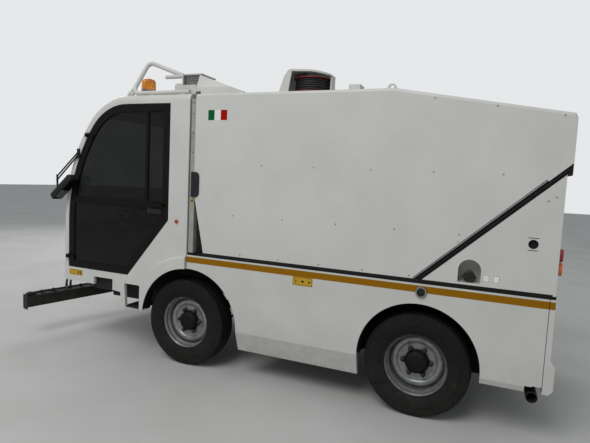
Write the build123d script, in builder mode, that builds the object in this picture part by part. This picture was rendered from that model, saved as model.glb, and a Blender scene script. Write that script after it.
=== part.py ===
# A street washer truck: short two-axle chassis, forward cab, boxed water tank, swivelling wash bar.
# Millimetres. X runs forward, Y to the truck's left, Z up from the ground.
from build123d import *
from math import atan2, cos, radians, sin, sqrt, tan
import os

os.makedirs("parts", exist_ok=True)

# Driving sizes of the whole truck
wheelbase = 1990
front_overhang = 1410
rear_overhang = 845
rear_axle_x = -1478
body_width = 1700
wheel_inset = 141
cab_front_to_body_gap = 60
cab_rear_behind_axle = 30
roof_z = 2360
deck_z = 995
floor_z = 700

front_axle_x = rear_axle_x + wheelbase
cab_front_x = front_axle_x + front_overhang
cab_rear_x = front_axle_x - cab_rear_behind_axle
body_front_x = cab_rear_x - cab_front_to_body_gap
body_rear_x = rear_axle_x - rear_overhang
half_width = body_width / 2
wheel_y = half_width - wheel_inset

# Sheet, walls and clearances
wall = 30
panel = 30
glass = 8
door_gap = 7
touch_gap = 0.3

# Wheels and tyres
tyre_radius = 383
tyre_width = 211
rim_seat_radius = 222
rim_flange_radius = 235.5
rim_half_width = 76
flange_thickness = 8
barrel_radius = 203
disc_thickness = 9
hub_radius = 82
hub_cap_radius = 46
stud_circle_radius = 102.5
stud_count = 6
nut_radius = 15
spindle_radius = 30
axle_z = tyre_radius
front_dish = 29
rear_dish = 4
backplate_radius = 150

# Steering
kingpin_offset = 127
kingpin_y = wheel_y - kingpin_offset
kingpin_radius = 18
boss_radius = 32
boss_half_height = 35
ear_height = 20
steering_arm_length = 130
tie_rod_radius = 12
tie_rod_eye_radius = 14
tie_rod_eye_height = 32
tie_rod_pin_radius = 8

# Chassis
rail_outer_y = 330
rail_height = 140
rail_flange = 60
rail_thickness = 7
rail_top_z = floor_z
rail_bottom_z = rail_top_z - rail_height
rail_front_x = front_axle_x + 1180
rail_rear_x = body_rear_x + 45
spring_y = 285
spring_width = 60
spring_thickness = 28
spring_half_span = 430
spring_camber = 95
beam_height = 56
beam_depth = 60

# Wheel arches
front_arch_radius = 475
front_arch_setback = 60
front_arch_z = 400
rear_arch_radius = 430
rear_arch_setback = 5
rear_arch_z = 420
flare_radius = 585
flare_height = 24

# Cab
windscreen_bottom_z = 1150
windscreen_top_z = 2190
pillar_width = 85
windscreen_half_width = half_width - pillar_width
roof_seam_z = 2312
cab_edge_radius = 60
front_curve_radius = 1600
front_curve_turn = 36
front_curve_start_z = 1187
door_margin = 88
door_rear = 174
door_bottom_z = 748
door_frame = 62
door_thickness = 30
waist_z = 1400
waist_rail = 60
lower_cab_z = 444

# Body
tank_top_z = 2350
tank_overhang = 25
seal_height = 22
skirt_bottom_z = 232
skirt_bend_z = 400
skirt_bend_inset = 60

# Wash bar
bar_length = 1996
bar_depth = 84
bar_height = 110
bar_bottom_z = 300
bar_pivot_x = 1554 + front_axle_x
bar_angle = 12.4
bar_wall = 5
nozzle_count = 14
arm_pivot_x = front_axle_x + 1160
arm_pivot_z = 500

side_signs = {"left": 1, "right": -1}


def forward_of_front_axle(points):
    # Points given as (distance ahead of the front axle, height)
    return [(front_axle_x + x, z) for x, z in points]


def behind_rear_axle(points):
    # Points given as (distance ahead of the rear axle, height)
    return [(rear_axle_x + x, z) for x, z in points]


# The cab's side view: upright nose, one long curve, a tighter one, and a flat roof
turn = radians(front_curve_turn)
brow_x = cab_front_x - front_curve_radius * (1 - cos(turn))
brow_z = front_curve_start_z + front_curve_radius * sin(turn)
brow_radius = (roof_z - brow_z) / (1 - sin(turn))
brow_end_x = brow_x - brow_radius * cos(turn)
half_turn = turn / 2
nose_mid = (
    cab_front_x - front_curve_radius * (1 - cos(half_turn)),
    front_curve_start_z + front_curve_radius * sin(half_turn),
)
brow_turn = radians((front_curve_turn + 90) / 2)
brow_mid = (
    brow_end_x + brow_radius * cos(brow_turn),
    roof_z - brow_radius * (1 - sin(brow_turn)),
)

with BuildSketch(Plane.XZ) as cab_side:
    with BuildLine():
        Line((cab_rear_x, lower_cab_z), (cab_front_x, lower_cab_z))
        Line((cab_front_x, lower_cab_z), (cab_front_x, front_curve_start_z))
        ThreePointArc((cab_front_x, front_curve_start_z), nose_mid, (brow_x, brow_z))
        ThreePointArc((brow_x, brow_z), brow_mid, (brow_end_x, roof_z))
        Line((brow_end_x, roof_z), (cab_rear_x, roof_z))
        Line((cab_rear_x, roof_z), (cab_rear_x, lower_cab_z))
    make_face()


def cab_block(inset, edge_radius):
    # The whole outer form of the cab, or the same form set in by the thickness of its walls
    half = half_width - inset
    with BuildPart() as block:
        with BuildSketch(Plane.XZ) as side_view:
            add(cab_side.sketch)
            if inset:
                offset(amount=-inset, kind=Kind.INTERSECTION, mode=Mode.REPLACE)
        extrude(amount=half, both=True)
        rim = block.edges().filter_by(lambda e: abs(abs(e.center().Y) - half) < 1)
        rim = rim.filter_by(lambda e: e.center().X > cab_rear_x + inset + 1)
        rim = rim.filter_by(lambda e: e.center().Z > lower_cab_z + inset + 1)
        fillet(rim, radius=edge_radius)
        if inset:
            with BuildSketch(Plane.XY.offset(lower_cab_z + inset)):
                middle_x = (cab_rear_x + cab_front_x) / 2
                with Locations((middle_x, 0)):
                    Rectangle(cab_front_x - cab_rear_x - 2 * inset, 2 * half)
            extrude(amount=-inset - 1)
    return block.part


cab_outer = cab_block(0, cab_edge_radius)
cab_inner = cab_block(wall, cab_edge_radius - wall)
cab_under_glass = cab_block(glass, cab_edge_radius - glass)

# The lower contour of the cab's side: bumper line, notch, step post, step opening, wing tip
notch_front = 1005
notch_rear = 779
notch_top_z = 680
step_top_z = 660
step_rear = 447
step_post_x = front_axle_x + step_rear
cab_lower_contour = forward_of_front_axle(
    [
        (1500, 612),
        (notch_front, 607),
        (notch_front, notch_top_z),
        (notch_rear, notch_top_z),
        (notch_rear, 580),
        (685, 571),
        (675, 450),
        (625, 450),
        (640, step_top_z),
        (step_rear + 5, step_top_z),
        (step_rear, lower_cab_z),
        (-60, lower_cab_z),
        (-60, 430),
        (1500, 430),
    ]
)

front_arch_x = front_axle_x - front_arch_setback
rear_arch_x = rear_axle_x - rear_arch_setback


def arch_cut(x, z, radius):
    # A wheel opening through the full width, round above and straight below
    with BuildPart() as cut:
        with BuildSketch(Plane.XZ):
            with Locations((x, z)):
                Circle(radius)
            with Locations((x, z - 150)):
                Rectangle(2 * radius, 300)
        extrude(amount=half_width + 50, both=True)
    return cut.part


front_arch = arch_cut(front_arch_x, front_arch_z, front_arch_radius)
rear_arch = arch_cut(rear_arch_x, rear_arch_z, rear_arch_radius)


def door_outline(inset):
    # The door's edge follows the nose of the cab; its rear foot is cut off above the wing
    rear_x = front_axle_x + door_rear + inset
    cut_slope = (1278 - 760) / (598 - 173)
    shift = inset * sqrt(1 + cut_slope**2)
    bottom = door_bottom_z + inset
    foot_z = 1278 + shift
    foot_x = front_axle_x + 598 + (760 - bottom + shift) / cut_slope
    with BuildSketch(Plane.XZ) as outline:
        add(cab_side.sketch)
        offset(amount=-door_margin - inset, kind=Kind.INTERSECTION, mode=Mode.REPLACE)
        with BuildLine(mode=Mode.PRIVATE) as limits:
            Polyline(
                (rear_x, foot_z - inset * cut_slope),
                (foot_x, bottom),
                (cab_front_x, bottom),
                (cab_front_x, roof_z),
                (rear_x, roof_z),
                close=True,
            )
        make_face(limits.edges(), mode=Mode.INTERSECT)
    return outline.sketch


def door_front_x(z):
    # The door's front edge at a height: straight below, then an arc inside the nose's arc
    if z < front_curve_start_z:
        return cab_front_x - door_margin
    reach = sqrt((front_curve_radius - door_margin) ** 2 - (z - front_curve_start_z) ** 2)
    return cab_front_x - front_curve_radius + reach


hinge_pin_radius = 7
hinge_knuckle_radius = 14
hinge_outset = 16
hinge_knuckle_length = 34
hinge_ear_length = 12
hinge_heights = (850, 2000)
hinge_ahead = (8, 15)
hinge_xs = [door_front_x(z) + ahead for z, ahead in zip(hinge_heights, hinge_ahead)]
hinge_slope = (hinge_xs[0] - hinge_xs[1]) / (hinge_heights[1] - hinge_heights[0])
hinge_lean = atan2(hinge_slope, 1)
hinge_dir = Vector(-sin(hinge_lean), 0, cos(hinge_lean))


def hinge_plane(index, sign, along):
    # A plane square to the leaning hinge line, a little way along it from the hinge's middle
    origin = Vector(hinge_xs[index], sign * (half_width + hinge_outset), hinge_heights[index])
    return Plane(origin=origin + hinge_dir * along, x_dir=(0, 1, 0), z_dir=hinge_dir)


def side_plate(sketch, y, depth, sign):
    # A plate of the sketch, its outer face at the distance y from the middle
    with BuildPart() as plate:
        with BuildSketch(Plane.XZ.offset(-sign * y)):
            add(sketch)
        extrude(amount=sign * depth)
    return plate.part


def wheel_flare(sign):
    # The pressed wing edge over the front wheel, rounded off at its outer rim
    with BuildPart() as flare:
        with BuildSketch(Plane.XZ.offset(-sign * half_width)):
            with Locations((front_arch_x, front_arch_z)):
                Circle(flare_radius)
                Circle(front_arch_radius, mode=Mode.SUBTRACT)
            with Locations((cab_rear_x - flare_radius, front_arch_z)):
                Rectangle(2 * flare_radius, 4 * flare_radius, mode=Mode.SUBTRACT)
            with Locations((front_arch_x, lower_cab_z - flare_radius)):
                Rectangle(4 * flare_radius, 2 * flare_radius, mode=Mode.SUBTRACT)
            with Locations((step_post_x + 153, step_top_z - flare_radius)):
                Rectangle(306, 2 * flare_radius, mode=Mode.SUBTRACT)
        extrude(amount=-sign * flare_height)
        rim = flare.edges().filter_by(GeomType.CIRCLE)
        rim = rim.filter_by(lambda e: e.radius > flare_radius - 1)
        rim = rim.filter_by(lambda e: abs(e.center().Y) > half_width + flare_height - 1)
        fillet(rim, radius=flare_height - 2)
    return flare.part


# The cab's whole sheet form: sides, pillars, rear wall, roof and the wings over the front wheels
with BuildPart() as cab_form:
    add(cab_outer)
    add(cab_inner, mode=Mode.SUBTRACT)
    with BuildSketch(Plane.XZ):
        Polygon(*cab_lower_contour, align=None)
    extrude(amount=half_width + 50, both=True, mode=Mode.SUBTRACT)
    add(front_arch, mode=Mode.SUBTRACT)
    for sign in side_signs.values():
        add(
            side_plate(door_outline(-door_gap), half_width + 10, 120, sign),
            mode=Mode.SUBTRACT,
        )
    with Locations((cab_front_x - 350, 0, (windscreen_bottom_z + windscreen_top_z) / 2)):
        Box(
            800,
            2 * windscreen_half_width,
            windscreen_top_z - windscreen_bottom_z,
            mode=Mode.SUBTRACT,
        )
    with Locations((cab_front_x, 0, windscreen_bottom_z - 400)):
        Box(200, 2 * windscreen_half_width, 800, mode=Mode.SUBTRACT)

# Cab sides, each with its pillars, its wing and the fixed halves of the door hinges
for side, sign in side_signs.items():
    with BuildPart() as cab_side_panel:
        add(cab_form.part)
        split(bisect_by=Plane.XY.offset(roof_seam_z), keep=Keep.BOTTOM)
        pillar_plane = Plane(origin=(0, sign * windscreen_half_width, 0), z_dir=(0, sign, 0))
        split(bisect_by=pillar_plane, keep=Keep.TOP)
        add(wheel_flare(sign))
        for index in range(len(hinge_heights)):
            with Locations(hinge_plane(index, sign, 0)):
                Cylinder(hinge_pin_radius, hinge_knuckle_length + 2 * hinge_ear_length)
            for end in (-1, 1):
                along = end * (hinge_knuckle_length + hinge_ear_length + 2) / 2
                with Locations(hinge_plane(index, sign, along)):
                    Cylinder(hinge_knuckle_radius, hinge_ear_length)
                    with Locations((-sign * hinge_outset / 2, -10, 0)):
                        Box(hinge_outset + 4, 18, hinge_ear_length)
    cab_side_panel.part.label = f"cab_side_{side}"
    export_step(cab_side_panel.part, f"parts/cab_side_{side}.step")

# Cab back: the flat wall between the two sides
with BuildPart() as cab_back:
    add(cab_form.part)
    with Locations((cab_rear_x, 0, (lower_cab_z + roof_seam_z) / 2)):
        Box(4 * wall, 2 * windscreen_half_width, roof_seam_z - lower_cab_z, mode=Mode.INTERSECT)
cab_back.part.label = "cab_back"
export_step(cab_back.part, "parts/cab_back.step")

# Cab roof: the cap above the gutter line, with the header over the windscreen
with BuildPart() as cab_roof:
    add(cab_form.part)
    with BuildPart(mode=Mode.INTERSECT):
        with Locations(((cab_rear_x + cab_front_x) / 2, 0, roof_seam_z)):
            cab_length = cab_front_x - cab_rear_x
            Box(cab_length, body_width, 100, align=(Align.CENTER, Align.CENTER, Align.MIN))
        with Locations((cab_front_x, 0, windscreen_top_z)):
            Box(
                2 * (cab_length - 4 * wall),
                2 * windscreen_half_width,
                roof_seam_z - windscreen_top_z,
                align=(Align.CENTER, Align.CENTER, Align.MIN),
            )
cab_roof.part.label = "cab_roof"
export_step(cab_roof.part, "parts/cab_roof.step")

# Windscreen: one curved pane, flush with the shell
with BuildPart() as windscreen:
    add(cab_outer)
    add(cab_under_glass, mode=Mode.SUBTRACT)
    with Locations((cab_front_x - 350, 0, (windscreen_bottom_z + windscreen_top_z) / 2)):
        Box(
            800,
            2 * windscreen_half_width,
            windscreen_top_z - windscreen_bottom_z,
            mode=Mode.INTERSECT,
        )
windscreen.part.label = "windscreen"
export_step(windscreen.part, "parts/windscreen.step")

# Front panel with its round lamp wells and a row of air slots
headlamp_y = windscreen_half_width - 205
headlamp_z = 790
headlamp_radius = 78
indicator_z = 960
front_panel_bottom_z = 612
slot_rows = 4
with BuildPart() as front_panel:
    add(cab_outer)
    add(cab_inner, mode=Mode.SUBTRACT)
    middle_z = (windscreen_bottom_z + front_panel_bottom_z) / 2
    with Locations((cab_front_x, 0, middle_z)):
        Box(
            200,
            2 * windscreen_half_width,
            windscreen_bottom_z - front_panel_bottom_z,
            mode=Mode.INTERSECT,
        )
    with BuildSketch(Plane.YZ.offset(cab_front_x + 10)):
        with Locations((headlamp_y, headlamp_z), (-headlamp_y, headlamp_z)):
            Circle(headlamp_radius)
        with Locations((headlamp_y, indicator_z), (-headlamp_y, indicator_z)):
            SlotOverall(150, 60)
        with Locations((0, headlamp_z)):
            with GridLocations(0, 36, 1, slot_rows):
                SlotOverall(560, 16)
    extrude(amount=-wall - 20, mode=Mode.SUBTRACT)
front_panel.part.label = "front_panel"
export_step(front_panel.part, "parts/front_panel.step")

# Front lamps, and one round side marker behind each door
marker_x = front_axle_x + 76
marker_z = 1273
with BuildPart() as front_lamps:
    with BuildSketch(Plane.YZ.offset(cab_front_x - wall)):
        with Locations((headlamp_y, headlamp_z), (-headlamp_y, headlamp_z)):
            Circle(headlamp_radius)
        with Locations((headlamp_y, indicator_z), (-headlamp_y, indicator_z)):
            SlotOverall(150, 60)
    extrude(amount=wall + 6)
    for sign in side_signs.values():
        with BuildSketch(Plane.XZ.offset(-sign * half_width)):
            with Locations((marker_x, marker_z)):
                Circle(16)
        extrude(amount=-sign * 10)
front_lamps.part.label = "front_lamps"
export_step(front_lamps.part, "parts/front_lamps.step")

# Doors: a plate frame with an upper and a lower window, hung on two leaning hinges
divider_x = front_axle_x + 410
divider_width = 30
for side, sign in side_signs.items():
    inner_y = half_width
    with BuildPart() as door:
        add(side_plate(door_outline(0), inner_y, door_thickness, sign))
        with BuildSketch(Plane.XZ.offset(-sign * (inner_y + 20))) as windows:
            add(door_outline(door_frame))
            with Locations(((cab_front_x + cab_rear_x) / 2, waist_z)):
                Rectangle(2000, waist_rail, mode=Mode.SUBTRACT)
            with Locations((divider_x, 1850)):
                Rectangle(divider_width, 900, mode=Mode.SUBTRACT)
        extrude(amount=sign * 100, mode=Mode.SUBTRACT)
        with Locations((front_axle_x + 290, sign * (inner_y + 12), waist_z)):
            Box(150, 24, 26)
        for index in range(len(hinge_heights)):
            with Locations(hinge_plane(index, sign, 0)):
                Cylinder(hinge_knuckle_radius, hinge_knuckle_length)
                with Locations((-sign * (hinge_outset - 5), 40, 0)):
                    Box(10, 72, hinge_knuckle_length)
                Cylinder(hinge_pin_radius + touch_gap, 60, mode=Mode.SUBTRACT)
    door.part.label = f"door_{side}"
    export_step(door.part, f"parts/door_{side}.step")
    with BuildPart() as pane:
        with BuildSketch(Plane.XZ.offset(-sign * (inner_y - 10))):
            add(door_outline(door_frame))
            with Locations(((cab_front_x + cab_rear_x) / 2, waist_z)):
                Rectangle(2000, waist_rail, mode=Mode.SUBTRACT)
            with Locations((divider_x, 1850)):
                Rectangle(divider_width, 900, mode=Mode.SUBTRACT)
        extrude(amount=sign * glass)
    pane.part.label = f"door_glass_{side}"
    export_step(pane.part, f"parts/door_glass_{side}.step")

# Cab floor: plate, the two boxes over the front wheels, and the entrance steps
wheel_box_front = 475
wheel_box_inner_y = 350
wheel_box_top_z = 885
box_sheet = 12
step_z = 450
step_depth = 230
inner_half = half_width - wall
with BuildPart() as cab_floor:
    floor_front_x = cab_front_x - wall
    floor_rear_x = cab_rear_x + wall
    with Locations(((floor_front_x + floor_rear_x) / 2, 0, floor_z + 11)):
        Box(floor_front_x - floor_rear_x, 2 * inner_half, 22)
    front_corners = cab_floor.edges().filter_by(Axis.Z).group_by(Axis.X)[-1]
    fillet(front_corners, radius=cab_edge_radius - wall + 4)
    box_front_x = front_axle_x + wheel_box_front + box_sheet
    for sign in side_signs.values():
        box_width = inner_half - wheel_box_inner_y
        box_y = sign * (inner_half + wheel_box_inner_y) / 2
        box_x = (floor_rear_x + box_front_x) / 2
        with Locations((box_x, box_y, (floor_z + wheel_box_top_z) / 2)):
            Box(box_front_x - floor_rear_x, box_width, wheel_box_top_z - floor_z)
    for sign in side_signs.values():
        hollow_y = sign * (half_width + wheel_box_inner_y + box_sheet) / 2
        hollow_width = half_width - wheel_box_inner_y - box_sheet
        hollow_length = front_axle_x + wheel_box_front - floor_rear_x
        hollow_height = wheel_box_top_z - box_sheet - floor_z
        hollow_x = floor_rear_x + hollow_length / 2
        with Locations((hollow_x, hollow_y, floor_z + hollow_height / 2)):
            Box(hollow_length, hollow_width, hollow_height, mode=Mode.SUBTRACT)
    for sign in side_signs.values():
        tread_y = sign * (inner_half - step_depth / 2)
        with Locations((front_axle_x + 563, tread_y, step_z - 9)):
            Box(165, step_depth, 18)
        hanger_y = sign * (inner_half - step_depth + 4)
        hanger_length = notch_front - step_rear - 34
        with Locations((front_axle_x + notch_front - hanger_length / 2, hanger_y, (step_z + floor_z) / 2)):
            Box(hanger_length, 8, floor_z - step_z)
        apron_x = front_axle_x + (notch_front + notch_rear) / 2
        with Locations((apron_x, sign * (inner_half - 16), (floor_z + 560) / 2)):
            Box(notch_front - notch_rear + 60, 12, floor_z - 560)
cab_floor.part.label = "cab_floor"
export_step(cab_floor.part, "parts/cab_floor.step")

# Dashboard with its steering column
dash_front_x = cab_front_x - 90
dash_top_z = 1130
seat_y = half_width - 450
column_y = seat_y - 10
wheel_tilt = 35
steering_wheel_x = front_axle_x + 930
steering_wheel_z = 1255
steering_wheel_radius = 205
steering_rim_radius = 15
column_dir = Vector(-sin(radians(wheel_tilt)), 0, cos(radians(wheel_tilt)))
wheel_centre = Vector(steering_wheel_x, column_y, steering_wheel_z)
with BuildPart() as dashboard:
    with BuildSketch(Plane.XZ):
        with BuildLine():
            Polyline(
                (dash_front_x, 900),
                (dash_front_x, 1100),
                (dash_front_x - 60, dash_top_z),
                (dash_front_x - 210, dash_top_z),
                (dash_front_x - 270, 1060),
                (dash_front_x - 190, 900),
                close=True,
            )
        make_face()
    extrude(amount=half_width - 190, both=True)
    with Locations((dash_front_x - 90, 0, (floor_z + 22 + 900) / 2)):
        Box(140, 1100, 900 - floor_z - 22)
    with Locations(Plane(origin=wheel_centre - column_dir * 190, z_dir=column_dir)):
        Cylinder(26, 330)
dashboard.part.label = "dashboard"
export_step(dashboard.part, "parts/dashboard.step")

# Steering wheel: a ring, a hub and three spokes
with BuildPart() as steering_wheel:
    wheel_plane = Plane(origin=wheel_centre, x_dir=(0, 1, 0), z_dir=column_dir)
    with Locations(wheel_plane):
        Torus(steering_wheel_radius, steering_rim_radius)
        with Locations((0, 0, -8)):
            Cylinder(48, 34)
    with BuildSketch(wheel_plane):
        with PolarLocations(steering_wheel_radius / 2, 3, start_angle=90):
            Rectangle(steering_wheel_radius, 26)
    extrude(amount=6, both=True)
steering_wheel.part.label = "steering_wheel"
export_step(steering_wheel.part, "parts/steering_wheel.step")

# Two seats on a low base behind the dashboard
seat_width = 470
seat_base_z = wheel_box_top_z
with BuildPart() as seats:
    for sign in side_signs.values():
        with BuildSketch(Plane.XZ.offset(-sign * seat_y)):
            with BuildLine():
                Polyline(
                    (front_axle_x + 120, seat_base_z),
                    (front_axle_x + 480, seat_base_z),
                    (front_axle_x + 480, seat_base_z + 60),
                    (front_axle_x + 640, seat_base_z + 70),
                    (front_axle_x + 640, seat_base_z + 190),
                    (front_axle_x + 270, seat_base_z + 165),
                    (front_axle_x + 180, seat_base_z + 720),
                    (front_axle_x + 60, seat_base_z + 700),
                    (front_axle_x + 120, seat_base_z + 100),
                    close=True,
                )
            make_face()
            fillet(vertices().filter_by(lambda v: v.Z > seat_base_z + 50), radius=25)
        extrude(amount=seat_width / 2, both=True)
seats.part.label = "seats"
export_step(seats.part, "parts/seats.step")

# Wiper on the windscreen's foot
with BuildPart() as wiper:
    with Locations(Plane.YZ.offset(cab_front_x)):
        with Locations((120, windscreen_bottom_z - 30, 15)):
            Cylinder(16, 30)
    with Locations((cab_front_x + 24, -210, windscreen_bottom_z - 30)):
        Box(12, 680, 16)
wiper.part.label = "wiper"
export_step(wiper.part, "parts/wiper.step")

# Mirrors: twin arms from the corner pillar down to a long housing
mirror_arm_radius = 7
with BuildPart() as mirrors:
    for sign in side_signs.values():
        top_x = front_axle_x + 1196
        for drop in (0, 42):
            top = Vector(top_x + drop * 0.4, sign * (half_width + 9), 1850 - drop)
            tip = Vector(top_x + 215 + drop * 0.2, sign * (half_width + 60), 1610 - drop)
            run = tip - top
            with Locations(Plane(origin=top + run * 0.5, z_dir=run)):
                Cylinder(mirror_arm_radius, run.length + 8)
        with Locations((top_x + 8, sign * (half_width + 6), 1829)):
            Box(30, 12, 90)
        head = Vector(front_axle_x + 1306, sign * (half_width + 68), 1505)
        head_dir = Vector(-0.755, 0, 0.656)
        with BuildPart(Plane(origin=head, x_dir=(0, 1, 0), z_dir=head_dir), mode=Mode.PRIVATE) as housing:
            Box(110, 52, 310)
            fillet(housing.edges(), radius=16)
        add(housing.part)
        bracket_top = Vector(top_x + 219, sign * (half_width + 60), 1618)
        bracket_foot = Vector(front_axle_x + 1400, sign * (half_width + 66), 1440)
        run = bracket_foot - bracket_top
        with Locations(Plane(origin=bracket_top + run * 0.5, z_dir=run)):
            Cylinder(mirror_arm_radius + 2, run.length + 10)
mirrors.part.label = "mirrors"
export_step(mirrors.part, "parts/mirrors.step")

# Beacon on the cab roof: base and dome
beacon_x = front_axle_x + 620
beacon_y = half_width - 260
beacon_radius = 76
with BuildPart() as beacon:
    with Locations((beacon_x, beacon_y, roof_z)):
        Cylinder(beacon_radius - 14, 62, align=(Align.CENTER, Align.CENTER, Align.MIN))
        with Locations((0, 0, 62)):
            Cylinder(beacon_radius, 128, align=(Align.CENTER, Align.CENTER, Align.MIN))
    fillet(beacon.edges().filter_by(GeomType.CIRCLE).sort_by(Axis.Z)[-1], radius=26)
beacon.part.label = "beacon"
export_step(beacon.part, "parts/beacon.step")

# Roof guard: a tube that runs along the cab's edge, up and back to the duct, leaning inwards
guard_tube_radius = 19
guard_y = half_width - 65
guard_lean = 20
guard_plane = Plane(
    origin=(front_axle_x, guard_y, roof_z + guard_tube_radius + touch_gap),
    x_dir=(1, 0, 0),
    z_dir=(0, -cos(radians(guard_lean)), -sin(radians(guard_lean))),
)
guard_end_x = cab_rear_x + 160
guard_points = [(24, 0), (645, 0), (543, 316), (60, 132)]
with BuildPart() as roof_guard:
    with BuildLine(guard_plane) as guard_path:
        FilletPolyline(*guard_points, radius=58)
    with BuildSketch(Plane(origin=guard_path.line @ 0, z_dir=guard_path.line % 0)):
        Circle(guard_tube_radius)
    sweep()
    strut_top = guard_plane.from_local_coords(Vector(610, 97, 0))
    strut_foot = guard_plane.from_local_coords(Vector(682, -20, 0))
    strut_run = strut_foot - strut_top
    with Locations(Plane(origin=strut_top + strut_run * 0.5, z_dir=strut_run)):
        Cylinder(13, strut_run.length)
    stub = guard_plane.from_local_coords(Vector(210, 152, 0))
    with Locations(Plane(origin=stub, z_dir=(1, 0, 0))):
        Cylinder(17, 200)
    for x in (90, 420):
        with Locations((front_axle_x + x, guard_y, roof_z + guard_tube_radius / 2)):
            Box(46, 24, guard_tube_radius)
    split(bisect_by=Plane.XY.offset(roof_z), keep=Keep.TOP)
    with Locations((guard_end_x - 100, guard_y, roof_z + 4 * guard_tube_radius)):
        Box(200, 240, 400, align=(Align.CENTER, Align.CENTER, Align.MIN), mode=Mode.SUBTRACT)
roof_guard.part.label = "roof_guard"
export_step(roof_guard.part, "parts/roof_guard.step")

# Air duct: a stepped box on the cab roof and a wedge on the body, joined over the gap by bellows
duct_y = half_width - 215
duct_width = 230
duct_top_z = roof_z + 100
wedge_height = 178
bellows_foot_z = roof_z + 84
bellows_height = tank_top_z + wedge_height - bellows_foot_z
bellows_front_x = cab_rear_x + 150
bellows_rear_x = body_front_x + 45
bellows_ribs = 5
wedge_length = 445
wedge_tail_height = 21
wedge_lean = 22
with BuildPart() as air_duct:
    with BuildSketch(Plane.XZ.offset(-(duct_y + duct_width / 2))):
        with BuildLine():
            Polyline(
                (cab_rear_x + 15, roof_z),
                (bellows_front_x + 85, roof_z),
                (bellows_front_x + 85, duct_top_z - 24),
            )
            ThreePointArc(
                (bellows_front_x + 85, duct_top_z - 24),
                (bellows_front_x + 78, duct_top_z - 7),
                (bellows_front_x + 61, duct_top_z),
            )
            Polyline(
                (bellows_front_x + 61, duct_top_z),
                (bellows_front_x, duct_top_z),
                (bellows_front_x, bellows_foot_z),
                (cab_rear_x + 15, bellows_foot_z),
                (cab_rear_x + 15, roof_z),
            )
        make_face()
    extrude(amount=duct_width)
    with BuildSketch(Plane.XZ.offset(-(duct_y + duct_width / 2 + 40))):
        Polygon(
            (body_front_x, tank_top_z),
            (body_front_x, roof_z + 20),
            (bellows_rear_x, roof_z + 20),
            (bellows_rear_x, tank_top_z + wedge_height),
            (bellows_rear_x - wedge_length, tank_top_z + wedge_tail_height),
            (bellows_rear_x - wedge_length, tank_top_z),
            align=None,
        )
    extrude(amount=duct_width + 80)
    side_cut = Plane(
        origin=(bellows_rear_x, duct_y + duct_width / 2 + 40, tank_top_z + 60),
        z_dir=(0, cos(radians(wedge_lean)), sin(radians(wedge_lean))),
    )
    split(bisect_by=side_cut, keep=Keep.BOTTOM)
    lid_z = bellows_foot_z + bellows_height
    with Locations((bellows_front_x + 10, duct_y, lid_z)):
        lid_length = bellows_front_x + 10 - bellows_rear_x + 20
        Box(lid_length, duct_width, 10, align=(Align.MAX, Align.CENTER, Align.MIN))
    with Locations((bellows_front_x, duct_y, duct_top_z)):
        Box(10, duct_width, lid_z - duct_top_z + 10, align=(Align.MIN, Align.CENTER, Align.MIN))
air_duct.part.label = "air_duct"
export_step(air_duct.part, "parts/air_duct.step")

# Bellows between the cab's duct below and the body's lid above, ribbed like a concertina
with BuildPart() as air_bellows:
    rib_step = bellows_height / (2 * bellows_ribs + 1)
    for index in range(2 * bellows_ribs + 1):
        sink = 9 if index % 2 else 0
        centre = ((bellows_front_x + bellows_rear_x) / 2, duct_y, bellows_foot_z + (index + 0.5) * rib_step)
        with Locations(centre):
            Box(bellows_front_x - bellows_rear_x - 2 * sink, duct_width - 20 - 2 * sink, rib_step)
air_bellows.part.label = "air_bellows"
export_step(air_bellows.part, "parts/air_bellows.step")

# Body deck: base plate and its cross bearers on the chassis rails
deck_inset = 8
bearer_height = 80
bearer_x = (body_front_x - 150, rear_axle_x + 700, rear_axle_x - 40, body_rear_x + 110)
with BuildPart() as body_deck:
    deck_length = body_front_x - 20 - body_rear_x
    deck_mid_x = (body_front_x - 20 + body_rear_x) / 2
    with Locations((deck_mid_x, 0, deck_z + seal_height / 2)):
        Box(deck_length, body_width - 2 * deck_inset, seal_height)
    for x in bearer_x:
        with Locations((x, 0, deck_z - bearer_height / 2)):
            Box(70, 2 * inner_half, bearer_height)
        for sign in side_signs.values():
            foot_height = deck_z - bearer_height - rail_top_z
            with Locations((x, sign * (rail_outer_y - 30), rail_top_z + foot_height / 2)):
                Box(70, 60, foot_height)
    for sign in side_signs.values():
        with Locations((body_front_x - 30, sign * (half_width - 35), deck_z + seal_height / 2)):
            Box(156, 50, seal_height)
body_deck.part.label = "body_deck"
export_step(body_deck.part, "parts/body_deck.step")

# Front frame of the body: two posts and the bulkhead behind the cab
post_depth = 48
frame_foot_z = deck_z + seal_height
with BuildPart() as front_frame:
    frame_height = roof_seam_z - frame_foot_z
    for sign in side_signs.values():
        with Locations((body_front_x + 2, sign * (half_width - 35), frame_foot_z)):
            Box(post_depth - 2, 50, frame_height, align=(Align.MIN, Align.CENTER, Align.MIN))
    with Locations((body_front_x + post_depth, 0, frame_foot_z)):
        Box(6, 2 * (half_width - 35), frame_height, align=(Align.MAX, Align.CENTER, Align.MIN))
front_frame.part.label = "front_frame"
export_step(front_frame.part, "parts/front_frame.step")

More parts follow.
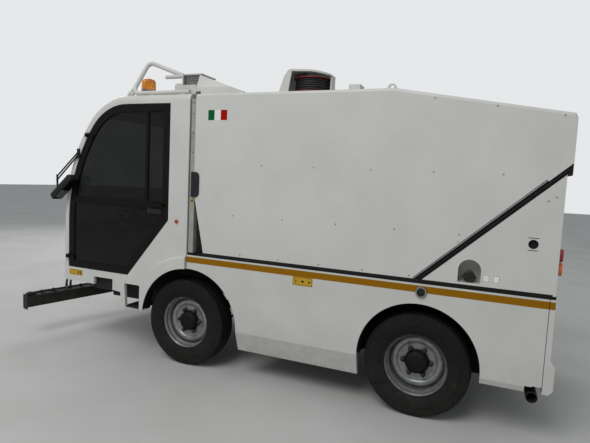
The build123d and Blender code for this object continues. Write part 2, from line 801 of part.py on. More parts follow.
# Water tank body: boxed, with a raked rear top and a slanted rear foot over the pump housing
tank_edge_radius = 22
seam_foot_x = rear_axle_x + 48
seam_top_z = 1861
knee_x = rear_axle_x + 267
tank_rear_top_z = 2168
tank_foot_z = deck_z + seal_height
tank_rear_x = body_rear_x - tank_overhang
seam_angle = atan2(seam_top_z - tank_foot_z, seam_foot_x - tank_rear_x)
tank_profile = [
    (body_front_x - 110, tank_foot_z),
    (body_front_x - 8, 1494),
    (body_front_x, 1560),
    (body_front_x, tank_top_z),
    (knee_x, tank_top_z),
    (tank_rear_x + 12, tank_rear_top_z),
    (tank_rear_x, tank_rear_top_z - 26),
    (tank_rear_x, seam_top_z),
    (seam_foot_x, tank_foot_z),
]
manhole_x = rear_axle_x + 470
manhole_radius = 250
lid_thickness = 16
lid_pin_radius = 7
eye_x = knee_x + 40
eye_hole_radius = 14
lid_base_z = tank_top_z + 40
lid_hinge_x = manhole_x + manhole_radius + 30
with BuildPart() as tank_body:
    with BuildSketch(Plane.XZ):
        Polygon(*tank_profile, align=None)
    extrude(amount=half_width, both=True)
    long_edges = tank_body.edges().filter_by(Axis.Y, reverse=True)
    long_edges = long_edges.filter_by(lambda e: e.center().Z > tank_rear_top_z - 60)
    long_edges = long_edges.filter_by(lambda e: abs(e.center().Y) > half_width - 1)
    fillet(long_edges.filter_by(lambda e: e.center().X < body_front_x - 5), radius=tank_edge_radius)
    with Locations((manhole_x, 0, tank_top_z - 10)):
        Cylinder(manhole_radius - 20, 50, align=(Align.CENTER, Align.CENTER, Align.MIN))
tank_body.part.label = "tank_body"
export_step(tank_body.part, "parts/tank_body.step")

# Manhole lid on the tank roof, hinged at its front
with BuildPart() as manhole_lid:
    with Locations((manhole_x, 0, lid_base_z)):
        Cylinder(manhole_radius, lid_thickness, align=(Align.CENTER, Align.CENTER, Align.MIN))
    with Locations((manhole_x, 0, lid_base_z + lid_thickness)):
        Cylinder(manhole_radius - 90, 12, align=(Align.CENTER, Align.CENTER, Align.MIN))
    with Locations(((manhole_x + lid_hinge_x) / 2 + 90, 0, lid_base_z + lid_thickness / 2)):
        Box(lid_hinge_x - manhole_x - 180, 90, lid_thickness)
    with Locations(Plane.XZ):
        with Locations((lid_hinge_x, lid_base_z + lid_thickness / 2)):
            Cylinder(13, 90)
            Cylinder(lid_pin_radius + touch_gap, 90, mode=Mode.SUBTRACT)
manhole_lid.part.label = "manhole_lid"
export_step(manhole_lid.part, "parts/manhole_lid.step")

# Seam: the dark band under the tank's slanted foot, deeper where the tank overhangs the tail
seam_thickness = 34
seam_corner_drop = 78
band_shift = seam_thickness / sin(seam_angle)
housing_front_x = seam_foot_x - band_shift
housing_foot_z = deck_z + seal_height
seam_slope = tan(seam_angle)
housing_rear_x = body_rear_x + 5


def under_seam(x, drop):
    # Height of the housing's slanted top at a place along the truck, less a drop
    return housing_foot_z + (housing_front_x - x) * seam_slope - drop


with BuildPart() as seam_band:
    with BuildSketch(Plane.XZ):
        Polygon(
            (seam_foot_x, tank_foot_z),
            (tank_rear_x, seam_top_z),
            (tank_rear_x, seam_top_z - seam_corner_drop),
            (housing_rear_x, seam_top_z - seam_corner_drop),
            (housing_rear_x, under_seam(housing_rear_x, 0)),
            (seam_foot_x - band_shift, tank_foot_z),
            align=None,
        )
    extrude(amount=half_width - 6, both=True)
seam_band.part.label = "seam_band"
export_step(seam_band.part, "parts/seam_band.step")

# Pump housing under the seam, hollow and open to the rear, with the filler niche in its side
housing_wall = 25
niche_x = rear_axle_x - 318
niche_half_width = 73
niche_foot_z = 1040
niche_top_z = 1199
niche_depth = 140
latch_x = rear_axle_x - 687
latch_z = 1338
door_top_z = 1700
rear_door_half = 640
rear_door_foot_z = 1110
with BuildPart() as pump_housing:
    with BuildSketch(Plane.XZ):
        Polygon(
            (housing_front_x, housing_foot_z),
            (housing_rear_x, under_seam(housing_rear_x, 0)),
            (housing_rear_x, housing_foot_z),
            align=None,
        )
    extrude(amount=half_width, both=True)
    inner_drop = housing_wall / cos(seam_angle)
    inner_rear_x = housing_rear_x + housing_wall
    inner_foot_z = housing_foot_z + housing_wall
    inner_front_x = housing_front_x - (inner_drop + housing_wall) / seam_slope
    with BuildSketch(Plane.XZ):
        Polygon(
            (inner_front_x, inner_foot_z),
            (inner_rear_x, under_seam(inner_rear_x, inner_drop)),
            (inner_rear_x, inner_foot_z),
            align=None,
        )
    extrude(amount=half_width - niche_depth - housing_wall, both=True, mode=Mode.SUBTRACT)
    with Locations((housing_rear_x, 0, (door_top_z + rear_door_foot_z) / 2)):
        Box(
            120,
            2 * (rear_door_half + door_gap),
            door_top_z - rear_door_foot_z + 2 * door_gap,
            mode=Mode.SUBTRACT,
        )
    with BuildSketch(Plane.XZ.offset(-half_width)):
        with Locations((niche_x, niche_top_z - niche_half_width)):
            Circle(niche_half_width)
        with Locations((niche_x, (niche_top_z - niche_half_width + niche_foot_z) / 2)):
            Rectangle(2 * niche_half_width, niche_top_z - niche_half_width - niche_foot_z)
        with Locations((latch_x, latch_z)):
            Circle(27)
    extrude(amount=niche_depth, mode=Mode.SUBTRACT)
pump_housing.part.label = "pump_housing"
export_step(pump_housing.part, "parts/pump_housing.step")

# Rear door of the pump housing, hinged along its top
rear_hinge_z = door_top_z + 22
rear_hinge_x = housing_rear_x - 14
rear_hinge_y = 400
rear_pin_radius = 6
rear_knuckle_length = 60
with BuildPart() as rear_door:
    with Locations((housing_rear_x + 11, 0, (door_top_z + rear_door_foot_z) / 2)):
        Box(22, 2 * rear_door_half, door_top_z - rear_door_foot_z)
    with Locations((housing_rear_x - 8, 0, rear_door_foot_z + 60)):
        Box(16, 140, 30)
    for sign in side_signs.values():
        with Locations((housing_rear_x - 5, sign * rear_hinge_y, door_top_z - 12)):
            Box(10, rear_knuckle_length, 56)
        with Locations(Plane.XZ.offset(-sign * rear_hinge_y)):
            with Locations((rear_hinge_x, rear_hinge_z)):
                Cylinder(12, rear_knuckle_length)
                Cylinder(rear_pin_radius + touch_gap, rear_knuckle_length, mode=Mode.SUBTRACT)
rear_door.part.label = "rear_door"
export_step(rear_door.part, "parts/rear_door.step")

# Small steel fittings of the body: lid and rear door hinges, lifting eyes, roof box, reel spindle
fitting_y = half_width - 130
ear_length = 14
reel_x = rear_axle_x + 1198
reel_radius = 180
reel_lift = 132
reel_spindle_radius = 18
with BuildPart() as body_fittings:
    for sign in side_signs.values():
        with Locations((lid_hinge_x, sign * 56, tank_top_z)):
            Box(30, 20, lid_base_z - tank_top_z + 20, align=(Align.CENTER, Align.CENTER, Align.MIN))
    with Locations(Plane.XZ):
        with Locations((lid_hinge_x, lid_base_z + lid_thickness / 2)):
            Cylinder(lid_pin_radius, 132)
    with Locations((rear_axle_x + 620, 560, tank_top_z)):
        Box(90, 120, 80, align=(Align.CENTER, Align.CENTER, Align.MIN))
    with Locations((reel_x, 0, tank_top_z)):
        Cylinder(60, reel_lift - touch_gap, align=(Align.CENTER, Align.CENTER, Align.MIN))
        Cylinder(reel_spindle_radius, reel_lift + 138, align=(Align.CENTER, Align.CENTER, Align.MIN))
    for sign in side_signs.values():
        with Locations((eye_x, sign * fitting_y, tank_top_z)):
            Box(68, 12, 20, align=(Align.CENTER, Align.CENTER, Align.MIN))
        with Locations(Plane.XZ.offset(-sign * fitting_y)):
            with Locations((eye_x, tank_top_z + 20)):
                Cylinder(34, 12)
            with Locations((eye_x, tank_top_z + 28)):
                Cylinder(eye_hole_radius, 80, mode=Mode.SUBTRACT)
    with Locations((eye_x, 0, tank_top_z)):
        Box(200, body_width, 100, align=(Align.CENTER, Align.CENTER, Align.MAX), mode=Mode.SUBTRACT)
    for sign in side_signs.values():
        with Locations(Plane.XZ.offset(-sign * rear_hinge_y)):
            with Locations((rear_hinge_x, rear_hinge_z)):
                Cylinder(rear_pin_radius, rear_knuckle_length + 2 * ear_length + 8)
        for end in (-1, 1):
            ear_y = sign * rear_hinge_y + end * (rear_knuckle_length + ear_length + 2) / 2
            with Locations((housing_rear_x, ear_y, rear_hinge_z)):
                Box(26, ear_length, 26, align=(Align.MAX, Align.CENTER, Align.CENTER))
body_fittings.part.label = "body_fittings"
export_step(body_fittings.part, "parts/body_fittings.step")

# Black cover over the tank's front edge, on the photographed side
cover_x = body_front_x - 13
cover_z = 1599
with BuildPart() as side_cover:
    with BuildSketch(Plane.XZ.offset(-half_width)) as cover_outline:
        with Locations((cover_x, cover_z)):
            Rectangle(76, 210)
        fillet(cover_outline.vertices().group_by(Axis.X)[0], radius=38)
    extrude(amount=-10)
side_cover.part.label = "side_cover"
export_step(side_cover.part, "parts/side_cover.step")

# Side skirts: one pressed panel a side, bent in along its foot, with the arches cut out
skirt_front_x = cab_rear_x - 6
skirt_rear_x = body_rear_x + 36
skirt_section = [
    (half_width, deck_z),
    (half_width, skirt_bend_z),
    (half_width - skirt_bend_inset, skirt_bottom_z),
    (half_width - skirt_bend_inset - panel, skirt_bottom_z),
    (half_width - panel, skirt_bend_z),
    (half_width - panel, deck_z),
]
skirt_feet = [
    # (front x, rear x, height of the foot above the ground)
    (rear_axle_x - 400, rear_axle_x - 709, 362),
    (rear_axle_x - 709, rear_axle_x - 752, 406),
    (rear_axle_x - 752, rear_axle_x - 900, 413),
]
fuel_cap_x = rear_axle_x - 13
fuel_cap_z = 937
for side, sign in side_signs.items():
    with BuildPart() as skirt:
        with BuildSketch(Plane.YZ.offset(skirt_rear_x)):
            Polygon(*[(sign * y, z) for y, z in skirt_section], align=None)
        extrude(amount=skirt_front_x - skirt_rear_x)
        add(front_arch, mode=Mode.SUBTRACT)
        add(rear_arch, mode=Mode.SUBTRACT)
        for front_x, rear_x, foot in skirt_feet:
            with Locations(((front_x + rear_x) / 2, sign * half_width, foot / 2)):
                Box(front_x - rear_x, 400, foot, mode=Mode.SUBTRACT)
    skirt.part.label = f"skirt_{side}"
    export_step(skirt.part, f"parts/skirt_{side}.step")

# Arch liners: thin inner mudguards, in two parts at the front where cab and body meet
liner_sheet = 5
liner_foot_z = skirt_bend_z + 6
steered_liner_depth = 55
front_liner_depth = 220
rear_liner_depth = 260


def liner(x, z, radius, foot_z, depth, sign, zone):
    # A strip bent round a wheel arch, kept above its foot and inside the zone (rear x, front x)
    with BuildPart() as strip:
        with BuildSketch(Plane.XZ.offset(-sign * inner_half)):
            with Locations((x, z)):
                Circle(radius + liner_sheet)
                Circle(radius, mode=Mode.SUBTRACT)
            with Locations(((zone[0] + zone[1]) / 2, foot_z + radius)):
                Rectangle(zone[1] - zone[0], 2 * radius, mode=Mode.INTERSECT)
        extrude(amount=sign * depth)
    return strip.part


cab_zone = (cab_rear_x + wall + 80, front_arch_x + 2 * front_arch_radius)
body_zone = (front_arch_x - 2 * front_arch_radius, body_front_x)
rear_zone = (rear_arch_x - 2 * rear_arch_radius, rear_arch_x + 2 * rear_arch_radius)
front_ring = (front_arch_x, front_arch_z, front_arch_radius)
rear_ring = (rear_arch_x, rear_arch_z, rear_arch_radius)
for side, sign in side_signs.items():
    with BuildPart() as arch_liner:
        add(liner(*front_ring, lower_cab_z, steered_liner_depth, sign, cab_zone))
        add(liner(*front_ring, liner_foot_z, front_liner_depth, sign, body_zone))
        add(liner(*rear_ring, liner_foot_z, rear_liner_depth, sign, rear_zone))
    arch_liner.part.label = f"arch_liner_{side}"
    export_step(arch_liner.part, f"parts/arch_liner_{side}.step")

# Rear panel with its bumper roll across the tail
rear_panel_front_x = skirt_rear_x - 4
bumper_x = body_rear_x - 30
with BuildPart() as rear_bumper:
    with BuildSketch(Plane.XZ):
        Polygon(
            (rear_panel_front_x, deck_z),
            (body_rear_x, deck_z),
            (body_rear_x, 600),
            (bumper_x, 554),
            (bumper_x, 400),
            (body_rear_x - 5, 370),
            (rear_panel_front_x, 370),
            align=None,
        )
    extrude(amount=half_width, both=True)
    fillet(rear_bumper.edges().filter_by(Axis.Y).group_by(Axis.X)[0], radius=8)
rear_bumper.part.label = "rear_bumper"
export_step(rear_bumper.part, "parts/rear_bumper.step")

# Round rear lamps, two a side, on the pump housing's corners
lamp_radius = 42
lamp_depth = 24
lamp_rows = (1187, 1276)
with BuildPart() as rear_lamps:
    for sign in side_signs.values():
        for z in lamp_rows:
            with Locations(Plane.YZ.offset(housing_rear_x)):
                with Locations((sign * (half_width - 60), z)):
                    Cylinder(lamp_radius, lamp_depth, align=(Align.CENTER, Align.CENTER, Align.MAX))
rear_lamps.part.label = "rear_lamps"
export_step(rear_lamps.part, "parts/rear_lamps.step")

# Fuel cap on the skirt, and the capped filler pipe in the niche
filler_radius = 34
with BuildPart() as filler_caps:
    with BuildSketch(Plane.XZ.offset(-half_width)):
        with Locations((fuel_cap_x, fuel_cap_z)):
            Circle(29)
    extrude(amount=-14)
    with BuildSketch(Plane.XZ.offset(-(half_width - niche_depth))):
        with Locations((niche_x, niche_foot_z + filler_radius + 2)):
            Circle(filler_radius - 6)
    extrude(amount=-60)
    with BuildSketch(Plane.XZ.offset(-(half_width - niche_depth + 60))):
        with Locations((niche_x, niche_foot_z + filler_radius + 2)):
            Circle(filler_radius)
    extrude(amount=-30)
filler_caps.part.label = "filler_caps"
export_step(filler_caps.part, "parts/filler_caps.step")

# Exhaust: silencer behind the rear axle, its outlet turned out under the skirt
exhaust_x = rear_axle_x - 755
exhaust_z = 328
silencer_z = 430
with BuildPart() as exhaust:
    with Locations(Plane(origin=(exhaust_x + 130, 430, silencer_z), z_dir=(1, 0, 0))):
        Cylinder(88, 260)
    with BuildLine() as outlet_path:
        FilletPolyline(
            (exhaust_x + 20, 430, silencer_z),
            (exhaust_x - 4, 470, exhaust_z),
            (exhaust_x - 4, half_width - 22, exhaust_z),
            radius=40,
        )
    with BuildSketch(Plane(origin=outlet_path.line @ 0, z_dir=outlet_path.line % 0)):
        Circle(37)
    sweep()
    with BuildSketch(Plane.XZ.offset(-(half_width - 22))):
        with Locations((exhaust_x - 4, exhaust_z)):
            Circle(32)
    extrude(amount=200, mode=Mode.SUBTRACT)
    with Locations((exhaust_x + 200, 360, (silencer_z + rail_bottom_z) / 2 + 30)):
        Box(40, 60, rail_bottom_z - silencer_z - 60)
exhaust.part.label = "exhaust"
export_step(exhaust.part, "parts/exhaust.step")

# Hood over the hose reel: raked front, flat roof, round rear end on a post, open on both sides
hood_half_width = reel_radius + 25
hood_foot_front = rear_axle_x + 1495
hood_rear_x = reel_x - hood_half_width
hood_wall = 12
hood_post_width = 100
hood_profile = [
    (hood_foot_front, tank_top_z),
    (rear_axle_x + 1405, 2610),
    (rear_axle_x + 1372, 2660),
    (rear_axle_x + 1345, 2673),
    (rear_axle_x + 1130, 2660),
    (hood_rear_x + 12, 2643),
    (hood_rear_x, 2627),
    (hood_rear_x, tank_top_z),
]
window_foot_z = tank_top_z + 60


def hood_plan(inset):
    # Straight sides that end in a half circle round the reel
    with Locations((reel_x, 0)):
        Circle(hood_half_width - inset)
        Rectangle(400, 2 * (hood_half_width - inset), align=(Align.MIN, Align.CENTER))


with BuildPart() as reel_hood:
    with BuildSketch(Plane.XZ) as hood_side:
        Polygon(*hood_profile, align=None)
    extrude(amount=hood_half_width, both=True)
    with BuildSketch(Plane.XY.offset(tank_top_z)):
        hood_plan(0)
    extrude(amount=400, mode=Mode.INTERSECT)
    with BuildPart(mode=Mode.SUBTRACT):
        with BuildSketch(Plane.XZ):
            offset(hood_side.sketch, amount=-hood_wall, kind=Kind.INTERSECTION)
            with Locations(((hood_foot_front + hood_rear_x) / 2, tank_top_z)):
                Rectangle(440, 60)
        extrude(amount=hood_half_width, both=True)
        with BuildSketch(Plane.XY.offset(tank_top_z - 50)):
            hood_plan(hood_wall)
        extrude(amount=500, mode=Mode.INTERSECT)
    for sign in side_signs.values():
        with BuildSketch(Plane.XZ.offset(-sign * hood_post_width / 2)):
            Polygon(
                (hood_foot_front - 125, window_foot_z),
                (rear_axle_x + 1332, 2654),
                (rear_axle_x + 1130, 2644),
                (hood_rear_x - 20, 2623),
                (hood_rear_x - 20, window_foot_z),
                align=None,
            )
        extrude(amount=-sign * hood_half_width, mode=Mode.SUBTRACT)
reel_hood.part.label = "reel_hood"
export_step(reel_hood.part, "parts/reel_hood.step")

# Hose reel: two flanges and the wound hose on an upright spindle
reel_foot_z = tank_top_z + reel_lift
reel_height = 120
flange_thickness = 10
hose_radius = 13
wound_radius = reel_radius - 45
with BuildPart() as hose_reel:
    for z in (reel_foot_z, reel_foot_z + reel_height):
        with Locations((reel_x, 0, z)):
            Cylinder(reel_radius, flange_thickness, align=(Align.CENTER, Align.CENTER, Align.MIN))
    with Locations((reel_x, 0, reel_foot_z + 8)):
        Cylinder(wound_radius, reel_height - 6, align=(Align.CENTER, Align.CENTER, Align.MIN))
    for index in range(4):
        with Locations((reel_x, 0, reel_foot_z + 23 + index * 26)):
            Torus(wound_radius, hose_radius)
    with Locations((reel_x, 0, reel_foot_z)):
        Cylinder(reel_spindle_radius + touch_gap, 400, mode=Mode.SUBTRACT)
hose_reel.part.label = "hose_reel"
export_step(hose_reel.part, "parts/hose_reel.step")

# Chassis: two channel rails and their cross members, with hangers for the springs
cross_x = (
    rail_rear_x + 60,
    rear_axle_x - spring_half_span - 50,
    rear_axle_x + spring_half_span + 60,
    front_axle_x - spring_half_span - 50,
    front_axle_x + spring_half_span + 60,
    rail_front_x - 60,
)
spring_eye_z = axle_z + beam_height / 2 + spring_camber
arm_half_width = 150
with BuildPart() as chassis_frame:
    for sign in side_signs.values():
        with BuildSketch(Plane.YZ.offset(rail_rear_x)):
            with Locations((sign * (rail_outer_y - rail_flange / 2), rail_top_z - rail_height / 2)):
                Rectangle(rail_flange, rail_height)
            with Locations(
                (sign * (rail_outer_y - rail_flange / 2 - rail_thickness), rail_top_z - rail_height / 2)
            ):
                Rectangle(rail_flange, rail_height - 2 * rail_thickness, mode=Mode.SUBTRACT)
        extrude(amount=rail_front_x - rail_rear_x)
    for x in cross_x:
        with Locations((x, 0, rail_top_z - rail_height / 2)):
            Box(60, 2 * (rail_outer_y - rail_thickness), 90)
    for axle_x in (rear_axle_x, front_axle_x):
        for end in (-1, 1):
            for sign in side_signs.values():
                hanger_height = rail_bottom_z - spring_eye_z + 34
                hanger_x = axle_x + end * (spring_half_span + 22)
                with Locations((hanger_x, sign * spring_y, rail_bottom_z - hanger_height / 2)):
                    Box(44, spring_width, hanger_height)
    for sign in side_signs.values():
        with Locations((arm_pivot_x, sign * (arm_half_width + 16), arm_pivot_z)):
            Box(60, 20, 60)
            with Locations((0, 0, (rail_bottom_z + 30 - arm_pivot_z) / 2 + 10)):
                Box(60, 20, rail_bottom_z + 40 - arm_pivot_z)
        with Locations(Plane.XZ):
            with Locations((arm_pivot_x, arm_pivot_z, -sign * (arm_half_width + 16))):
                Cylinder(14, 80)
chassis_frame.part.label = "chassis_frame"
export_step(chassis_frame.part, "parts/chassis_frame.step")

# Engine and gearbox as one plain block between the rails, behind the front axle
with BuildPart() as engine_block:
    with Locations((front_axle_x - 840, 0, 680)):
        Box(640, 2 * (rail_outer_y - rail_flange), 380)
engine_block.part.label = "engine_block"
export_step(engine_block.part, "parts/engine_block.step")


def leaf_spring(axle_x, foot_z, sign):
    # A cambered leaf pack, thick in the middle of its span
    with BuildPart() as spring:
        with BuildSketch(Plane.XZ.offset(-sign * (spring_y + sign * spring_width / 2))):
            with BuildLine():
                low = ThreePointArc(
                    (axle_x - spring_half_span, foot_z + spring_camber),
                    (axle_x, foot_z),
                    (axle_x + spring_half_span, foot_z + spring_camber),
                )
                high = ThreePointArc(
                    (axle_x - spring_half_span, foot_z + spring_camber + 12),
                    (axle_x, foot_z + spring_thickness),
                    (axle_x + spring_half_span, foot_z + spring_camber + 12),
                )
                Line(low @ 0, high @ 0)
                Line(low @ 1, high @ 1)
            make_face()
        extrude(amount=spring_width)
    return spring.part


# Front axle: a beam with an upright boss at each end and the two springs on it
with BuildPart() as front_axle:
    with Locations((front_axle_x, 0, axle_z)):
        Box(beam_depth, 2 * kingpin_y, beam_height)
    for sign in side_signs.values():
        with Locations((front_axle_x, sign * kingpin_y, axle_z)):
            Cylinder(boss_radius, 2 * boss_half_height)
            Cylinder(kingpin_radius + touch_gap, 400, mode=Mode.SUBTRACT)
        with Locations((front_axle_x, sign * spring_y, axle_z + beam_height / 2 + 7)):
            Box(90, spring_width, 20)
        add(leaf_spring(front_axle_x, axle_z + beam_height / 2, sign))
front_axle.part.label = "front_axle"
export_step(front_axle.part, "parts/front_axle.step")

# Rear axle: tube, differential, springs, brake plates and hub spindles
rear_hub_inner_y = wheel_y + rear_dish - 60
with BuildPart() as rear_axle:
    with Locations(Plane.XZ):
        with Locations((rear_axle_x, axle_z)):
            Cylinder(52, 2 * rear_hub_inner_y - 60)
            Cylinder(spindle_radius, 2 * (rear_hub_inner_y + 52))
    with Locations((rear_axle_x, 0, axle_z)):
        Sphere(150)
    for sign in side_signs.values():
        with Locations((rear_axle_x, sign * spring_y, axle_z + 40)):
            Box(90, spring_width, 34)
        add(leaf_spring(rear_axle_x, axle_z + 52, sign))
        with Locations(Plane.XZ.offset(-sign * (rear_hub_inner_y - 22))):
            with Locations((rear_axle_x, axle_z)):
                Cylinder(backplate_radius, 42)
rear_axle.part.label = "rear_axle"
export_step(rear_axle.part, "parts/rear_axle.step")

# Steering knuckles: yoke and kingpin, brake plate, spindle and steering arm
front_hub_inner_y = wheel_y + front_dish - 60
ear_z = boss_half_height + 1 + ear_height / 2
arm_eye_x = front_axle_x - steering_arm_length
arm_eye_y = kingpin_y
arm_z = axle_z - boss_half_height - 1 - ear_height / 2
for side, sign in side_signs.items():
    with BuildPart() as knuckle:
        for end in (-1, 1):
            with Locations((front_axle_x, sign * (kingpin_y + 8), axle_z + end * ear_z)):
                Box(2 * boss_radius - 4, 2 * boss_radius, ear_height)
        with Locations((front_axle_x, sign * kingpin_y, axle_z)):
            Cylinder(kingpin_radius, 2 * (boss_half_height + ear_height))
        web_inner_y = kingpin_y + boss_radius + 2
        web_outer_y = front_hub_inner_y - 1
        with Locations((front_axle_x, sign * (web_inner_y + 8), axle_z)):
            Box(2 * boss_radius - 4, 16, 2 * (boss_half_height + 1 + ear_height))
        with Locations(Plane.XZ.offset(-sign * (web_inner_y + web_outer_y) / 2)):
            with Locations((front_axle_x, axle_z)):
                Cylinder(44, web_outer_y - web_inner_y)
        with Locations(Plane.XZ.offset(-sign * (web_outer_y - 16))):
            with Locations((front_axle_x, axle_z)):
                Cylinder(backplate_radius, 32)
        with Locations(Plane.XZ.offset(-sign * (web_outer_y + 26))):
            with Locations((front_axle_x, axle_z)):
                Cylinder(spindle_radius, 54)
        with BuildSketch(Plane.XY.offset(arm_z - ear_height / 2)):
            with BuildLine():
                eye = (arm_eye_x, sign * arm_eye_y)
                Polyline(
                    (front_axle_x + 20, sign * (kingpin_y - 16)),
                    (arm_eye_x, sign * (arm_eye_y - 16)),
                    (arm_eye_x, sign * (arm_eye_y + 16)),
                    (front_axle_x - 20, sign * (kingpin_y + 20)),
                    close=True,
                )
            make_face()
            with Locations(eye):
                Circle(17)
        extrude(amount=ear_height)
        with Locations((arm_eye_x, sign * arm_eye_y, arm_z - ear_height / 2)):
            Cylinder(tie_rod_pin_radius, 36, align=(Align.CENTER, Align.CENTER, Align.MAX))
    knuckle.part.label = f"knuckle_{side}"
    export_step(knuckle.part, f"parts/knuckle_{side}.step")

# Tie rod between the two steering arms
tie_rod_z = arm_z - ear_height / 2 - 19
with BuildPart() as tie_rod:
    with Locations(Plane.XZ):
        with Locations((arm_eye_x, tie_rod_z)):
            Cylinder(tie_rod_radius, 2 * (arm_eye_y - tie_rod_pin_radius - 2))
    for sign in side_signs.values():
        with Locations((arm_eye_x, sign * arm_eye_y, tie_rod_z)):
            Cylinder(tie_rod_eye_radius, tie_rod_eye_height)
    for sign in side_signs.values():
        with Locations((arm_eye_x, sign * arm_eye_y, tie_rod_z)):
            Cylinder(tie_rod_pin_radius + touch_gap, 60, mode=Mode.SUBTRACT)
tie_rod.part.label = "tie_rod"
export_step(tie_rod.part, "parts/tie_rod.step")

# Wheels: rim, dished disc, hub and studs; the rear discs sit deeper than the front ones
axles = [
    # (name, axle x, outboard offset of the disc's crown from the wheel's middle)
    ("front", front_axle_x, front_dish),
    ("rear", rear_axle_x, rear_dish),
]
flange_outer = rim_half_width + flange_thickness
crown_radius = 166
crown_half = 25
crown_drop = 14
valley_drop = 18
for axle_name, axle_x, dish in axles:
    for side, sign in side_signs.items():
        centre = (axle_x, sign * wheel_y, axle_z)
        spin = Axis(centre, (0, 1, 0))
        section_plane = Plane(origin=centre, x_dir=(1, 0, 0), z_dir=(0, 0, 1))
        rim_outline = [
            (rim_flange_radius, flange_outer),
            (rim_flange_radius, rim_half_width),
            (rim_seat_radius, rim_half_width),
            (rim_seat_radius, -rim_half_width),
            (rim_flange_radius, -rim_half_width),
            (rim_flange_radius, -flange_outer),
            (rim_seat_radius + 4, -flange_outer),
            (rim_seat_radius - 7, -rim_half_width + 4),
            (rim_seat_radius - 7, -52),
            (barrel_radius, -34),
            (barrel_radius, 30),
            (rim_seat_radius - 7, 48),
            (rim_seat_radius - 7, rim_half_width - 4),
            (rim_seat_radius + 4, flange_outer),
        ]
        with BuildPart() as wheel:
            with BuildSketch(section_plane):
                Polygon(*[(r, sign * out) for r, out in rim_outline], align=None)
            with BuildSketch(section_plane):
                with BuildLine():
                    outer = ThreePointArc(
                        (crown_radius + crown_half, sign * (dish - crown_drop)),
                        (crown_radius, sign * dish),
                        (crown_radius - crown_half, sign * (dish - crown_drop)),
                    )
                    inner = ThreePointArc(
                        (crown_radius + crown_half - 6, sign * (dish - crown_drop - disc_thickness)),
                        (crown_radius, sign * (dish - disc_thickness)),
                        (crown_radius - crown_half + 6, sign * (dish - crown_drop - disc_thickness)),
                    )
                    Polyline(
                        outer @ 0,
                        (barrel_radius + 3, sign * (dish - 34)),
                        (barrel_radius + 3, sign * (dish - 34 - disc_thickness)),
                        inner @ 0,
                    )
                    Polyline(
                        outer @ 1,
                        (crown_radius - crown_half - 13, sign * (dish - valley_drop)),
                        (hub_radius - 10, sign * (dish - valley_drop)),
                        (hub_radius - 10, sign * (dish - valley_drop - disc_thickness)),
                        (crown_radius - crown_half - 7, sign * (dish - valley_drop - disc_thickness)),
                        inner @ 1,
                    )
                make_face()
            revolve(axis=spin)
            hub_plane = Plane(origin=centre, x_dir=(1, 0, 0), z_dir=(0, sign, 0))
            with Locations(hub_plane):
                with Locations((0, 0, dish - 60)):
                    Cylinder(hub_radius, 74, align=(Align.CENTER, Align.CENTER, Align.MIN))
                with Locations((0, 0, dish + 14)):
                    Cylinder(hub_cap_radius, 22, align=(Align.CENTER, Align.CENTER, Align.MIN))
                with Locations((0, 0, dish - 60)):
                    Cylinder(
                        stud_circle_radius + nut_radius + 4,
                        33,
                        align=(Align.CENTER, Align.CENTER, Align.MIN),
                    )
                with Locations((0, 0, dish - 27)):
                    with PolarLocations(stud_circle_radius, stud_count):
                        Cylinder(nut_radius, 34, align=(Align.CENTER, Align.CENTER, Align.MIN))
                with Locations((0, 0, dish - 61)):
                    Cylinder(
                        spindle_radius + touch_gap,
                        56,
                        align=(Align.CENTER, Align.CENTER, Align.MIN),
                        mode=Mode.SUBTRACT,
                    )
        wheel.part.label = f"wheel_{axle_name}_{side}"
        export_step(wheel.part, f"parts/wheel_{axle_name}_{side}.step")
        with BuildPart() as tyre:
            with BuildSketch(section_plane):
                with BuildLine():
                    bead = rim_half_width - 0.5
                    Polyline(
                        (238, bead + 6),
                        (238, bead),
                        (rim_seat_radius + 0.5, bead),
                        (rim_seat_radius + 0.5, -bead),
                        (238, -bead),
                        (238, -bead - 6),
                    )
                    ThreePointArc((238, -bead - 6), (300, -tyre_width / 2), (360, -96))
                    ThreePointArc((360, -96), (377, -86), (tyre_radius, -68))
                    Line((tyre_radius, -68), (tyre_radius, 68))
                    ThreePointArc((tyre_radius, 68), (377, 86), (360, 96))
                    ThreePointArc((360, 96), (300, tyre_width / 2), (238, bead + 6))
                make_face()
            revolve(axis=spin)
        tyre.part.label = f"tyre_{axle_name}_{side}"
        export_step(tyre.part, f"parts/tyre_{axle_name}_{side}.step")

# Lift arm of the wash bar: two side plates, a cross tube and the upright bearing at its tip
boss_height = 70
boss_z = bar_bottom_z + bar_height + 12 + boss_height / 2
with BuildPart() as lift_arm:
    for sign in side_signs.values():
        with BuildSketch(Plane.XZ.offset(-sign * arm_half_width)):
            with BuildLine():
                Polyline(
                    (arm_pivot_x - 34, arm_pivot_z - 30),
                    (arm_pivot_x - 34, arm_pivot_z + 30),
                    (arm_pivot_x + 40, arm_pivot_z + 34),
                    (arm_pivot_x + 250, boss_z + 24),
                    (arm_pivot_x + 250, boss_z - 24),
                    (arm_pivot_x + 40, arm_pivot_z - 34),
                    close=True,
                )
            make_face()
            with Locations((arm_pivot_x, arm_pivot_z)):
                Circle(14 + touch_gap, mode=Mode.SUBTRACT)
        extrude(amount=sign * 14)
    with Locations((arm_pivot_x + 240, 0, boss_z)):
        Box(44, 2 * arm_half_width, 48)
    with Locations(((arm_pivot_x + 240 + bar_pivot_x) / 2, 0, boss_z)):
        Box(bar_pivot_x - arm_pivot_x - 240, 70, 48)
    with Locations((bar_pivot_x, 0, boss_z)):
        Cylinder(48, boss_height)
        Cylinder(22 + touch_gap, 200, mode=Mode.SUBTRACT)
lift_arm.part.label = "lift_arm"
export_step(lift_arm.part, "parts/lift_arm.step")

